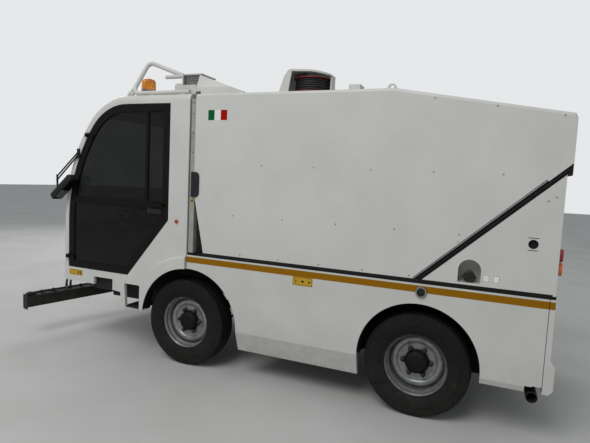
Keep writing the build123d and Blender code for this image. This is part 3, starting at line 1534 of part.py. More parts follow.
# Wash bar: an open-bottomed hood, the feed pipe with its nozzles, and the pivot pin
bar_plane = Plane(
    origin=(bar_pivot_x, 0, bar_bottom_z),
    x_dir=(cos(radians(bar_angle)), -sin(radians(bar_angle)), 0),
    z_dir=(0, 0, 1),
)
pipe_radius = 21
with BuildPart() as wash_bar:
    with BuildSketch(bar_plane):
        Rectangle(bar_depth, bar_length)
    extrude(amount=bar_height)
    with BuildSketch(bar_plane.offset(-1)):
        Rectangle(bar_depth - 2 * bar_wall, bar_length - 2 * bar_wall)
    extrude(amount=bar_height - bar_wall + 1, mode=Mode.SUBTRACT)
    with Locations(bar_plane):
        with Locations(Location((0, 0, bar_height - pipe_radius), (90, 0, 0))):
            Cylinder(pipe_radius, bar_length - bar_wall)
        with GridLocations(0, (bar_length - 160) / (nozzle_count - 1), 1, nozzle_count):
            with Locations((0, 0, 30)):
                Cylinder(9, 40, align=(Align.CENTER, Align.CENTER, Align.MIN))
        with Locations((0, 0, bar_height - 2)):
            Cylinder(55, 13.7, align=(Align.CENTER, Align.CENTER, Align.MIN))
            Cylinder(22, boss_height + 40, align=(Align.CENTER, Align.CENTER, Align.MIN))
        with Locations((0, 0, bar_height + 12.3 + boss_height)):
            Cylinder(40, 12, align=(Align.CENTER, Align.CENTER, Align.MIN))
wash_bar.part.label = "wash_bar"
export_step(wash_bar.part, "parts/wash_bar.step")

# Two feed hoses from the front corner of the cab down to the bar
bar_feed = (front_axle_x + 1712, half_width - 330, bar_bottom_z + bar_height)
hose_routes = [
    [
        (cab_front_x, half_width - 115, 905),
        (cab_front_x + 50, half_width - 115, 905),
        (cab_front_x + 92, half_width - 128, 840),
        (cab_front_x + 120, half_width - 160, 690),
        (cab_front_x + 200, half_width - 240, 545),
        (bar_feed[0] - 14, bar_feed[1] + 26, 480),
        (bar_feed[0] - 12, bar_feed[1] + 24, bar_feed[2] + 1),
    ],
    [
        (cab_front_x, half_width - 150, 870),
        (cab_front_x + 45, half_width - 150, 870),
        (cab_front_x + 84, half_width - 160, 812),
        (cab_front_x + 108, half_width - 195, 670),
        (cab_front_x + 190, half_width - 280, 530),
        (bar_feed[0] + 2, bar_feed[1] - 40, 472),
        (bar_feed[0] + 4, bar_feed[1] - 42, bar_feed[2] + 1),
    ],
]
hose_tube_radius = 11


def bend_radii(points):
    # The largest tangent arc that each corner's two runs allow
    radii = []
    for before, here, after in zip(points, points[1:], points[2:]):
        run_in = Vector(*here) - Vector(*before)
        run_out = Vector(*after) - Vector(*here)
        corner = radians(run_in.get_angle(run_out))
        radii.append(0.45 * min(run_in.length, run_out.length) / tan(corner / 2))
    return radii


with BuildPart() as bar_hoses:
    for route in hose_routes:
        radii = bend_radii(route)
        with BuildLine() as hose_path:
            FilletPolyline(*route, radius=radii)
        with BuildSketch(Plane(origin=hose_path.line @ 0, z_dir=hose_path.line % 0)):
            Circle(hose_tube_radius)
        sweep()
bar_hoses.part.label = "bar_hoses"
export_step(bar_hoses.part, "parts/bar_hoses.step")
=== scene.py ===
from math import cos, pi, radians, sin

import bmesh
import bpy
from mathutils import Matrix, Vector


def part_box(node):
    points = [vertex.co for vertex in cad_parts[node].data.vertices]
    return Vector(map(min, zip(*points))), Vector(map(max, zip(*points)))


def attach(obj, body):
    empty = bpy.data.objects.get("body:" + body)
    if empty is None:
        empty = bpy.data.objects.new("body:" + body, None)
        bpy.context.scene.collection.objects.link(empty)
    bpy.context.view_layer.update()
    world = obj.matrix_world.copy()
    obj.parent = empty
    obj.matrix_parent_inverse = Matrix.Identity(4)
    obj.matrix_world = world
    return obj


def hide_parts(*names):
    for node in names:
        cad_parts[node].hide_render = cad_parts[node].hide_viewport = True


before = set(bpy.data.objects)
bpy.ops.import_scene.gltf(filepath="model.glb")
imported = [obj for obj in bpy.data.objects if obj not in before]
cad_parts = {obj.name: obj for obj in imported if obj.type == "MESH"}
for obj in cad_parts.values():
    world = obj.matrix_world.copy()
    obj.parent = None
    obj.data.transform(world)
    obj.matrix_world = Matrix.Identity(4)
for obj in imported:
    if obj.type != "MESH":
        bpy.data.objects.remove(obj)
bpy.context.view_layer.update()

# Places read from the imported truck, in metres: +X forward, +Y to its left, +Z up
SIDES = {"left": 1, "right": -1}
CORNERS = [(axle, side) for axle in ("front", "rear") for side in SIDES]
SKIRT_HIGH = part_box("skirt_left")[1]
BODY_SIDE_Y = SKIRT_HIGH.y
BODY_FRONT_X = SKIRT_HIGH.x
UP = (0, 0, 1)
LEFTWARD = (0, 1, 0)


def wheel_centre(axle, side):
    low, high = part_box(f"tyre_{axle}_{side}")
    return (low + high) / 2


FRONT_AXLE_X = wheel_centre("front", "left").x
REAR_AXLE_X = wheel_centre("rear", "left").x

# ---- Materials ----


def linear(hex_colour):
    """An sRGB hex colour as the linear RGBA that Blender works in."""
    values = [int(hex_colour[i : i + 2], 16) / 255 for i in (1, 3, 5)]
    return [v / 12.92 if v <= 0.04045 else ((v + 0.055) / 1.055) ** 2.4 for v in values] + [1.0]


def add(tree, kind, settings=(), values=(), links=()):
    """Adds a node with its settings, socket values and incoming links."""
    made = tree.nodes.new(kind)
    for name, value in dict(settings).items():
        setattr(made, name, value)
    for socket, value in dict(values).items():
        made.inputs[socket].default_value = value
    for socket, source in dict(links).items():
        tree.links.new(source, made.inputs[socket])
    return made


def ramp(tree, factor, low, high, low_value=0.0, high_value=1.0):
    """A factor stretched from low..high to low_value..high_value, held at both ends."""
    bounds = {1: low, 2: high, 3: low_value, 4: high_value}
    return add(tree, "ShaderNodeMapRange", values=bounds, links={0: factor}).outputs[0]


def maths(tree, operation, values=(), links=()):
    return add(tree, "ShaderNodeMath", {"operation": operation}, values, links).outputs[0]


def times(tree, first, second):
    return maths(tree, "MULTIPLY", links={0: first, 1: second})


def mixed(tree, factor, first, second):
    """Two colours mixed; each is a hex string or a socket."""
    node = add(tree, "ShaderNodeMix", {"data_type": "RGBA"}, links={0: factor})
    for socket, colour in ((6, first), (7, second)):
        if isinstance(colour, str):
            node.inputs[socket].default_value = linear(colour)
        else:
            tree.links.new(colour, node.inputs[socket])
    return node.outputs[2]


def noise(tree, point, size_mm, detail=3.0, stretch=(1.0, 1.0, 1.0)):
    """Noise whose blotches are size_mm across; stretch makes them longer along an axis."""
    per_metre = 1000.0 / size_mm
    scale = {"Scale": [per_metre / s for s in stretch]}
    scaled = add(tree, "ShaderNodeMapping", values=scale, links={"Vector": point}).outputs[0]
    values = {"Scale": 1.0, "Detail": detail, "Roughness": 0.55}
    return add(tree, "ShaderNodeTexNoise", values=values, links={"Vector": scaled}).outputs[0]


def blank_finish(name):
    """A new material with its node tree, its shader and the object's own coordinates."""
    made = bpy.data.materials.new(name)
    made.use_nodes = True
    tree = made.node_tree
    return made, tree, tree.nodes["Principled BSDF"], add(tree, "ShaderNodeTexCoord").outputs["Object"]


def surface(
    name, colour, shade, roughness, grain_mm=1.0, grain_depth_mm=0.0, mottle_mm=120.0, metallic=0.0,
    dust="#6f6a60", dust_top=0.0, dust_amount=0.0, streaks=0.0, speckle=0.0, stripes=(), specular=0.5, shader=(),
):
    """A finish: its colour drifts to shade, grain gives the bump, road dust climbs from the
    ground to dust_top, streaks are rain marks, speckle is dirt in spots, and stripes are
    painted bands between heights."""
    made, tree, shading, point = blank_finish(name)
    drift = noise(tree, point, mottle_mm)
    paint = mixed(tree, ramp(tree, drift, 0.35, 0.7), colour, shade)
    height = add(tree, "ShaderNodeSeparateXYZ", links={0: point}).outputs[2]
    for low, high, band in stripes:
        above = maths(tree, "GREATER_THAN", {1: low}, {0: height})
        below = maths(tree, "LESS_THAN", {1: high}, {0: height})
        paint = mixed(tree, times(tree, above, below), paint, band)
    if streaks:
        runs = noise(tree, point, 22.0, 2.0, (1.0, 1.0, 16.0))
        paint = mixed(tree, ramp(tree, runs, 0.52, 0.8, 0.0, streaks), paint, dust)
    if speckle:
        spots = noise(tree, point, 7.0, 4.0)
        paint = mixed(tree, ramp(tree, spots, 0.6, 0.75, 0.0, speckle), paint, dust)
    if dust_amount:
        cloud = noise(tree, point, 60.0, 6.0)
        fade = ramp(tree, height, 0.0, dust_top, dust_amount, 0.0)
        paint = mixed(tree, times(tree, fade, ramp(tree, cloud, 0.25, 0.7)), paint, dust)
    tree.links.new(paint, shading.inputs["Base Color"])
    worn = noise(tree, point, 18.0, 5.0)
    wear = ramp(tree, worn, 0.3, 0.75, roughness * 0.85, min(1.0, roughness * 1.25))
    tree.links.new(wear, shading.inputs["Roughness"])
    if grain_depth_mm:
        grain = noise(tree, point, grain_mm, 2.0)
        relief = {"Strength": 0.6, "Distance": grain_depth_mm / 1000}
        bump = add(tree, "ShaderNodeBump", values=relief, links={"Height": grain})
        tree.links.new(bump.outputs[0], shading.inputs["Normal"])
    for socket, value in {"Metallic": metallic, "Specular IOR Level": specular, **dict(shader)}.items():
        shading.inputs[socket].default_value = value
    return made


# Stove enamel over sheet steel: a slight orange peel, rain streaks, road film near the ground
WHITE = surface(
    "white_enamelled_sheet_steel", "#cacac5", "#c3c3be", 0.36, 2.5, 0.05, 400.0, dust_top=0.55, dust_amount=0.4,
    streaks=0.02, specular=0.35, shader={"Coat Weight": 0.12, "Coat Roughness": 0.15},
)
# The same enamel on the lower panels, with the masked ochre band along them
STRIPED = surface(
    "white_enamel_with_ochre_band", "#c8c8c3", "#c0c0bb", 0.36, 2.5, 0.05, 400.0, dust_top=0.6, dust_amount=0.42,
    streaks=0.02, stripes=[(0.931, 0.981, "#8d6004")], specular=0.1,
)
# Roof parts catch soot: duller and greyer than the sides
ROOF_WHITE = surface(
    "weathered_white_enamel", "#cbcbc6", "#c2c2bc", 0.45, 3.0, 0.06, 260.0, speckle=0.06, streaks=0.04
)
# Satin black powder coat on the door frame
SATIN_BLACK = surface("black_powder_coat", "#0b0b0c", "#101011", 0.42, 0.9, 0.05, 60.0, speckle=0.03, specular=0.16)
# The channel between cab and body: grey primer, dusty where the wash water can't reach
FRAME_GREY = surface("grey_primed_frame_steel", "#9c9d99", "#8c8d89", 0.5, 1.5, 0.06, 70.0, speckle=0.12, streaks=0.1)
# Brushed-on chassis paint: dull, dusty, with a fine stipple
CHASSIS = surface(
    "black_chassis_paint", "#121212", "#1c1b1a", 0.62, 4.0, 0.25, 45.0, dust="#4d4841", dust_top=0.7, dust_amount=0.45,
    speckle=0.08, specular=0.3,
)
# Mudguard sheets: matt black, caked with grey road film; the same black is painted shade on the arch edges and on the
# sheets under the body
MUDGUARD_AND_SHADE_BLACK = surface(
    "black_polyethylene_mudguard_and_painted_shade", "#0d0d0d", "#141413", 0.8, 3.0, 0.3, 40.0, dust="#37332d", dust_top=0.6,
    dust_amount=0.35, specular=0.2,
)
# Chassis paint beaten by spray and grit on the wash bar
BAR_BLACK = surface(
    "scuffed_black_bar_paint", "#131312", "#262522", 0.62, 5.0, 0.6, 25.0, dust="#5c5850",
    dust_top=0.75, dust_amount=0.4, speckle=0.35, specular=0.25,
)
# Filled natural rubber: matt, fine mould grain, pale dust low on the sidewall
TYRE = surface(
    "vulcanised_tyre_rubber", "#121212", "#191918", 0.8, 1.6, 0.12, 35.0, dust="#45413b", dust_top=0.6,
    dust_amount=0.28, specular=0.22,
)
RUBBER = surface("black_weather_strip_rubber", "#0e0e0e", "#151515", 0.7, 0.8, 0.05, 30.0, specular=0.25)
HOSE = surface("braided_hose_cover_rubber", "#1a1a1b", "#252525", 0.55, 1.2, 0.15, 20.0, speckle=0.1)
BELLOWS = surface("grey_coated_bellows_cloth", "#8b8c8a", "#777876", 0.75, 1.0, 0.12, 40.0, speckle=0.2)
# Silver wheel paint over pressed steel, with brake dust in the dish
WHEEL = surface(
    "silver_wheel_enamel", "#989a99", "#7b7d7b", 0.34, 1.4, 0.06, 50.0, metallic=0.6, dust="#5b564e",
    dust_top=0.9, dust_amount=0.4, speckle=0.15,
)
NUT_STEEL = surface("blackened_wheel_nut_steel", "#1b1a19", "#2a2623", 0.5, 0.8, 0.08, 12.0, metallic=0.3)
# Hub castings painted over with the chassis black, greasy and dusty
HUB_BLACK = surface(
    "black_painted_hub_casting", "#0d0d0c", "#151311", 0.6, 2.5, 0.15, 20.0, speckle=0.04, specular=0.2
)
BARE_STEEL = surface("zinc_plated_steel", "#a9aaa8", "#8d8e8b", 0.36, 0.6, 0.03, 20.0, metallic=0.9)
ALUMINIUM = surface(
    "mill_finish_aluminium", "#b4b6b7", "#9fa1a2", 0.4, 0.5, 0.02, 60.0, metallic=0.85, streaks=0.1
)
PLASTIC = surface("grained_black_polypropylene", "#1a1b1c", "#222324", 0.58, 1.1, 0.12, 50.0, specular=0.3)
GREY_PLASTIC = surface("moulded_grey_base_plastic", "#8e908f", "#838584", 0.5, 1.2, 0.08, 40.0, speckle=0.1)
TRIM = surface("moulded_grey_dash_plastic", "#3b3c3e", "#454647", 0.62, 1.3, 0.15, 80.0)
SEAT_CLOTH = surface(
    "woven_seat_cloth", "#2b2d31", "#3a3d42", 0.85, 1.8, 0.35, 6.0,
    shader={"Sheen Weight": 0.3, "Sheen Roughness": 0.5},
)
IRON = surface("cast_iron_with_oil_film", "#33312e", "#45413b", 0.6, 3.5, 0.5, 30.0, speckle=0.2)
REEL_RED = surface("oxide_red_enamel", "#7c1d19", "#5e1714", 0.45, 2.0, 0.06, 40.0, speckle=0.15)
MIRROR_GLASS = surface("silvered_mirror_glass", "#5f6264", "#585b5d", 0.04, metallic=1.0)
YELLOW = surface("yellow_label_vinyl", "#c39b22", "#b58e1e", 0.5, 1.0, 0.02, 25.0, specular=0.25)
LABEL_INK = surface("black_label_ink", "#1d1d1c", "#232322", 0.5)
WHITE_VINYL = surface("white_label_vinyl", "#e2e2df", "#dadad6", 0.4)
FLAG_GREEN = surface("green_label_vinyl", "#0c5a33", "#0b5530", 0.6, specular=0.06)
FLAG_RED = surface("red_label_vinyl", "#a20d0a", "#9a0c0a", 0.6, specular=0.06)
# Black that is painted shade inside the round port, and the fuel cap's own dark centre
PORT_SHADE_AND_CAP_BLACK = surface("unlit_port_shade_and_cap_black", "#0b0b0b", "#101010", 0.8)
# Moulded lamp lenses: clear or coloured polycarbonate, glossy, lightly scratched
AMBER = surface(
    "amber_polycarbonate", "#f29a18", "#e88a10", 0.2, 1.0, 0.02, 15.0,
    shader={"Transmission Weight": 0.25, "Coat Weight": 0.5},
)
TAIL_LENS = surface(
    "red_and_amber_polycarbonate", "#a31a1f", "#8f1519", 0.2, 1.0, 0.02, 15.0, stripes=[(1.10, 1.232, "#cf6414")],
    shader={"Transmission Weight": 0.15, "Coat Weight": 0.5},
)
CLEAR_LENS = surface(
    "clear_and_amber_polycarbonate", "#c9cdd0", "#b9bdc0", 0.12, stripes=[(1.24, 1.31, "#d0560f")],
    shader={"Transmission Weight": 0.4},
)


def pane(name, tint, haze, clearness):
    """Float glass: a smooth dielectric whose tint darkens what is behind it."""
    made, tree, shading, point = blank_finish(name)
    film = noise(tree, point, 260.0, 4.0)
    tree.links.new(mixed(tree, ramp(tree, film, 0.4, 0.8), tint, haze), shading.inputs["Base Color"])
    tree.links.new(ramp(tree, film, 0.4, 0.8, 0.02, 0.06), shading.inputs["Roughness"])
    shading.inputs["Transmission Weight"].default_value = clearness
    shading.inputs["IOR"].default_value = 1.25
    return made


# Privacy-tinted toughened glass in the doors, paler laminated glass in front
TINTED = pane("tinted_toughened_glass", "#343532", "#40413c", 0.78)
CLEAR = pane("laminated_windscreen_glass", "#b9c2bf", "#aab3b0", 0.95)

CAD_FINISH = {
    WHITE: ("cab_side_left", "cab_side_right", "cab_back", "tank_body", "pump_housing", "reel_hood", "front_panel"),
    STRIPED: ("skirt_left", "skirt_right", "rear_bumper"),
    ROOF_WHITE: ("cab_roof", "roof_guard", "air_duct", "manhole_lid", "rear_door", "body_fittings"),
    FRAME_GREY: ("front_frame",),
    MUDGUARD_AND_SHADE_BLACK: ("arch_liner_left", "arch_liner_right", "body_deck"),
    SATIN_BLACK: ("door_left", "door_right"),
    CHASSIS: (
        "chassis_frame", "front_axle", "rear_axle", "knuckle_left", "knuckle_right", "tie_rod",
        "lift_arm", "exhaust", "cab_floor",
    ),
    BAR_BLACK: ("wash_bar",),
    WHEEL: tuple(f"wheel_{axle}_{side}" for axle, side in CORNERS),
    TINTED: ("door_glass_left", "door_glass_right"),
    CLEAR: ("windscreen",),
    RUBBER: ("seam_band",),
    HOSE: ("bar_hoses",),
    BELLOWS: ("air_bellows",),
    PLASTIC: ("mirrors", "wiper", "steering_wheel", "side_cover"),
    TRIM: ("dashboard",),
    SEAT_CLOTH: ("seats",),
    AMBER: ("beacon",),
    TAIL_LENS: ("rear_lamps",),
    CLEAR_LENS: ("front_lamps",),
    IRON: ("engine_block",),
    BARE_STEEL: ("filler_caps",),
    REEL_RED: ("hose_reel",),
}
for finish, names in CAD_FINISH.items():
    for name in names:
        for face_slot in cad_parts[name].material_slots:
            face_slot.material = finish

# ---- Making pieces ----


def in_scene(name, data):
    made = bpy.data.objects.new(name, data)
    bpy.context.scene.collection.objects.link(made)
    return made


def place(data, material, body="chassis"):
    """A mesh becomes a piece that rides on a body and takes its finish from a slot."""
    if not data.materials:
        data.materials.append(material)
    piece = in_scene(data.name, data)
    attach(piece, body)
    return piece


def plain_mesh(piece):
    """The piece with its modifiers worked out and removed."""
    depsgraph = bpy.context.evaluated_depsgraph_get()
    data = bpy.data.meshes.new_from_object(piece.evaluated_get(depsgraph))
    name = piece.name
    old = piece.data
    bpy.data.objects.remove(piece)
    if isinstance(old, bpy.types.Mesh):
        bpy.data.meshes.remove(old)
    data.name = name
    return data


def finish_mesh(name, build, bevel=0.0, smooth=True):
    """A mesh from a bmesh that build() fills, with outward normals, rounded edges and shading."""
    shape = bmesh.new()
    build(shape)
    bmesh.ops.remove_doubles(shape, verts=shape.verts, dist=1e-6)
    bmesh.ops.recalc_face_normals(shape, faces=shape.faces)
    if bevel:
        sharp = [e for e in shape.edges if len(e.link_faces) == 2 and e.calc_face_angle() > radians(30)]
        bmesh.ops.bevel(shape, geom=sharp, offset=bevel, segments=2, profile=0.5, affect="EDGES", clamp_overlap=True)
    data = bpy.data.meshes.new(name)
    shape.to_mesh(data)
    shape.free()
    if smooth:
        data.shade_smooth()
        data.set_sharp_from_angle(angle=radians(35))
    return data


def loft(shape, rings):
    """Joins rings of points of equal count by quads and caps both ends."""
    rows = [[shape.verts.new(p) for p in ring] for ring in rings]
    count = len(rows[0])
    for a, b in zip(rows, rows[1:]):
        for i in range(count):
            j = (i + 1) % count
            shape.faces.new((a[i], a[j], b[j], b[i]))
    shape.faces.new(reversed(rows[0]))
    shape.faces.new(rows[-1])


def wrap(shape, rows, closed=True):
    """Joins rows of vertices round a full turn by quads; closed joins each row's ends too."""
    count = len(rows[0])
    for a, b in zip(rows, rows[1:] + rows[:1]):
        for i in range(count if closed else count - 1):
            j = (i + 1) % count
            shape.faces.new((a[i], b[i], b[j], a[j]))


def lathe(shape, profile, centre, axis, steps=48, closed=False):
    """Turns (along the axis, radius) pairs round an axis."""
    turn = Vector(UP).rotation_difference(Vector(axis)).to_matrix()
    verts = []
    for k in range(steps):
        a = 2 * pi * k / steps
        row = [Vector(centre) + turn @ Vector((r * cos(a), r * sin(a), z)) for z, r in profile]
        verts.append([shape.verts.new(p) for p in row])
    wrap(shape, verts, closed)


def turned(name, profile, centre, axis, material, body="chassis", steps=48, closed=False):
    data = finish_mesh(name, lambda shape: lathe(shape, profile, centre, axis, steps, closed))
    return place(data, material, body)


def smooth_curve(name, points, closed=False, poly=False):
    """A curve with one open or closed spline through its control points."""
    curve = bpy.data.curves.new(name, "CURVE")
    curve.dimensions = "3D"
    spline = curve.splines.new("POLY" if poly else "NURBS")
    spline.points.add(len(points) - 1)
    for target, point in zip(spline.points, points):
        target.co = (*point, 1.0)
    spline.use_cyclic_u = closed
    if not poly:
        spline.order_u = 3
        spline.use_endpoint_u = not closed
        spline.resolution_u = 8
    return curve


def hose_line(points):
    """The points that a hose follows, read from its own smooth spline."""
    line = plain_mesh(in_scene("hose_line", smooth_curve("hose_line", points)))
    spots = [tuple(v.co) for v in line.vertices]
    bpy.data.meshes.remove(line)
    return spots


def tube(name, points, radius, material, body="chassis", sides=6, closed=False, poly=False):
    """A round bar or cord along points, as a bevelled curve turned to mesh."""
    curve = smooth_curve(name, points, closed, poly)
    curve.bevel_depth = radius
    curve.bevel_resolution = sides
    curve.use_fill_caps = True
    data = plain_mesh(in_scene(name, curve))
    bpy.data.curves.remove(curve)
    data.shade_smooth()
    return place(data, material, body)


def rounded(width, height, radius, steps=5):
    """A rounded rectangle's points round the origin."""
    points = []
    for corner in range(4):
        sx = 1 if corner in (0, 3) else -1
        sy = 1 if corner in (0, 1) else -1
        for k in range(steps + 1):
            a = radians(90 * corner + 90 * k / steps)
            x = sx * (width / 2 - radius) + radius * cos(a)
            points.append((x, sy * (height / 2 - radius) + radius * sin(a)))
    return points


def fasteners(name, places, head_radius, head_height, material, sign, sides=12):
    """Domed heads set on a side's points by a geometry node tree, each with a thin washer."""
    data = bpy.data.meshes.new(name)
    data.from_pydata(places, [], [])
    holder = in_scene(name, data)
    tree = bpy.data.node_groups.new(f"{name}_tree", "GeometryNodeTree")
    for way in ("INPUT", "OUTPUT"):
        tree.interface.new_socket(name="Geometry", in_out=way, socket_type="NodeSocketGeometry")
    given = add(tree, "NodeGroupInput")
    sphere = {"Segments": sides, "Rings": 6, "Radius": head_radius}
    dome = add(tree, "GeometryNodeMeshUVSphere", values=sphere)
    flat = {"Scale": (1.0, 1.0, head_height / head_radius)}
    head = add(tree, "GeometryNodeTransform", values=flat, links={"Geometry": dome.outputs[0]})
    disc = {"Vertices": sides, "Radius": 1.5 * head_radius, "Depth": 0.6 * head_height}
    washer = add(tree, "GeometryNodeMeshCylinder", values=disc)
    both = add(tree, "GeometryNodeJoinGeometry")
    tree.links.new(head.outputs[0], both.inputs[0])
    tree.links.new(washer.outputs[0], both.inputs[0])
    turn = Vector(UP).rotation_difference(Vector((0, sign, 0))).to_euler()
    facing = add(tree, "GeometryNodeTransform", values={"Rotation": turn}, links={"Geometry": both.outputs[0]})
    copies = {"Points": given.outputs[0], "Instance": facing.outputs[0]}
    set_on = add(tree, "GeometryNodeInstanceOnPoints", links=copies)
    real = add(tree, "GeometryNodeRealizeInstances", links={0: set_on.outputs[0]})
    coloured = add(tree, "GeometryNodeSetMaterial", values={"Material": material}, links={"Geometry": real.outputs[0]})
    add(tree, "NodeGroupOutput", links={0: coloured.outputs[0]})
    holder.modifiers.new("heads", "NODES").node_group = tree
    return place(plain_mesh(holder), material)


def on_side(places, sign):
    """Points on the body's side from (x, z) pairs."""
    return [(x, sign * BODY_SIDE_Y, z) for x, z in places]


# ---- Camera, light and floor ----

# The camera's lens, place and axes, solved by matching both photographed wheels
CAMERA_LENS_MM = 28.83
CAMERA_PLACE = (-1.89418, 4.20571, 1.67745)
RIGHT = Vector((-0.92204719, -0.38422761, 0.04688414))
DOWN = Vector((-0.0769115, 0.06315172, -0.99503592))
AHEAD = Vector((0.37935946, -0.921076, -0.08778039))
camera_data = bpy.data.cameras.new("camera")
camera_data.sensor_width = 36.0
camera_data.lens = CAMERA_LENS_MM
camera = in_scene("camera", camera_data)
turn = Matrix((RIGHT, -DOWN, -AHEAD)).transposed()
camera.matrix_world = Matrix.Translation(CAMERA_PLACE) @ turn.to_4x4()
bpy.context.scene.camera = camera
bpy.context.scene.view_settings.view_transform = "Standard"

world = bpy.data.worlds.new("overcast")
bpy.context.scene.world = world
world.use_nodes = True
sky = world.node_tree
sky.nodes["Background"].inputs["Color"].default_value = linear("#e9edf2")
sky.nodes["Background"].inputs["Strength"].default_value = 0.52
path = add(sky, "ShaderNodeLightPath").outputs
seen = maths(sky, "MAXIMUM", links={0: path["Is Camera Ray"], 1: path["Is Transmission Ray"]})
backdrop = add(sky, "ShaderNodeBackground", values={"Color": linear("#e6e8ea"), "Strength": 1.0})
shares = {0: seen, 1: sky.nodes["Background"].outputs[0], 2: backdrop.outputs[0]}
blend = add(sky, "ShaderNodeMixShader", links=shares)
sky.links.new(blend.outputs[0], sky.nodes["World Output"].inputs[0])


def soft_lamp(name, place_at, aim, watts):
    lamp_data = bpy.data.lights.new(name, "AREA")
    lamp_data.shape = "DISK"
    lamp_data.size = 6.0
    lamp_data.energy = watts
    lamp = in_scene(name, lamp_data)
    lamp.location = place_at
    lamp.rotation_euler = (Vector(aim) - Vector(place_at)).to_track_quat("-Z", "Y").to_euler()


soft_lamp("key", (0.8, 7.5, 8.5), (0.0, 0.4, 1.0), 500.0)
soft_lamp("fill", (7.0, -5.5, 6.0), (0.3, 0.0, 1.0), 260.0)


def build_floor(shape):
    bmesh.ops.create_grid(shape, x_segments=2, y_segments=2, size=40.0)


floor = in_scene("floor", finish_mesh("floor", build_floor, smooth=False))
floor.data.materials.append(surface("pale_trowelled_concrete", "#bfbfbc", "#b6b6b2", 0.8, 6.0, 0.3, 900.0))

# ---- Wheels ----

TYRE_LOW, TYRE_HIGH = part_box("tyre_rear_left")
TYRE_RADIUS = (TYRE_HIGH.x - TYRE_LOW.x) / 2
TYRE_HALF_WIDTH = (TYRE_HIGH.y - TYRE_LOW.y) / 2
BEAD_RADIUS = 0.2225
# The tread's lugs round the tyre, and the mesh steps in each
PITCHES = 68
STEPS_PER_PITCH = 8
TREAD_HALF = 0.078
GROOVE_DEPTH = 0.009
# The tyre's inner face, from one bead to the other: (across, radius)
TYRE_LINING = [(y, BEAD_RADIUS + out) for y, out in ((0.080, 0.004), (0.070, 0.03), (-0.070, 0.03), (-0.080, 0.004))]


def tread_columns():
    """(across the tyre, groove depth, side-slot depth) from one shoulder to the other, in metres."""
    columns = [(-TREAD_HALF, 0.0, 0.007)]
    for low, high in ((-0.047, -0.039), (-0.004, 0.004), (0.039, 0.047)):
        columns += [
            (low - 0.0125, 0.0, 0.006 if low < -0.03 else 0.0), (low, 0.0, 0.0),
            (low + 0.0012, GROOVE_DEPTH, 0.0), (high - 0.0012, GROOVE_DEPTH, 0.0), (high, 0.0, 0.0),
        ]
    return columns + [(0.047 + 0.0125, 0.0, 0.006), (TREAD_HALF, 0.0, 0.007)]


def tyre_profile():
    """The outer section, from one bead over the tread to the other: (across, radius, slot depth)."""
    crown = TYRE_RADIUS - 0.0005
    wide = TYRE_HALF_WIDTH - 0.0006
    wall = [(y, BEAD_RADIUS + out) for y, out in (
        (0.086, 0.001), (0.090, 0.014), (0.0905, 0.020), (0.094, 0.024), (0.0975, 0.040), (0.103, 0.060),
        (wide, 0.080), (wide, 0.085), (0.1035, 0.088), (0.1035, 0.108), (0.1005, 0.125), (0.0975, 0.133),
        (0.094, 0.144),
    )] + [(0.0885, crown - 0.008)]
    section = [(-y, r, 0.0) for y, r in wall]
    for across, groove, slot in tread_columns():
        drop = 0.004 * (across / TREAD_HALF) ** 2
        section.append((across, crown - drop - groove, slot))
    section += [(y, r, 0.0) for y, r in reversed(wall)]
    return section


def build_tyre(shape, centre):
    section = tyre_profile()
    total = PITCHES * STEPS_PER_PITCH

    def spot(k, across, r):
        angle = 2 * pi * k / total
        return shape.verts.new(centre + Vector((r * sin(angle), across, r * cos(angle))))

    rows = []
    for k in range(total):
        row = []
        for across, radius, slot in section:
            offset = 3 if across > 0 else 0
            in_slot = (k + offset) % STEPS_PER_PITCH in (0, 1)
            wave = 0.0018 * sin(2 * pi * k / STEPS_PER_PITCH) if abs(across) < 0.05 else 0.0
            row.append(spot(k, across + wave, radius - (slot if in_slot else 0.0)))
        rows.append(row)
    for k, row in enumerate(rows):
        row += [spot(k, across, r) for across, r in TYRE_LINING]
    wrap(shape, rows)


NUT_CIRCLE = 0.1025
NUT_COUNT = 6
# A nut's (out, radius over its corners): conical seat, hexagon and domed end
NUT_PROFILE = (
    (0.0, 0.0185), (0.005, 0.0165), (0.0055, 0.0158), (0.022, 0.0158), (0.0245, 0.0135), (0.029, 0.0095),
    (0.0315, 0.004),
)
# The hub's face, out from the wheel's middle plane
HUB_FACE = {"front": 0.029, "rear": 0.004}
HUB_ROOT = 0.090
HUB_LOBE = 0.030


def side_ring(centre, out, count, radius_at):
    """Points round a wheel's axis, at the radius given for each index and angle."""
    ring = []
    for k in range(count):
        a = 2 * pi * k / count
        r = radius_at(k, a)
        ring.append(centre + Vector((r * cos(a), out, r * sin(a))))
    return ring


def hub_star(shape, centre, sign, low, high):
    """A six-lobed flange, one lobe round each wheel nut."""

    def radius_at(k, a):
        return HUB_ROOT + HUB_LOBE * max(0.0, cos(NUT_COUNT * a)) ** 1.4

    loft(shape, [side_ring(centre, sign * out, 96, radius_at) for out in (low, high)])


def wheel_nut(shape, centre, sign, low):
    rings = []
    for out, radius in NUT_PROFILE:
        flat = 0.93 if 0.0052 <= out <= 0.023 else 1.0
        rings.append(side_ring(centre, sign * (low + out), 12, lambda k, a: radius * (flat if k % 2 else 1.0)))
    loft(shape, rings)


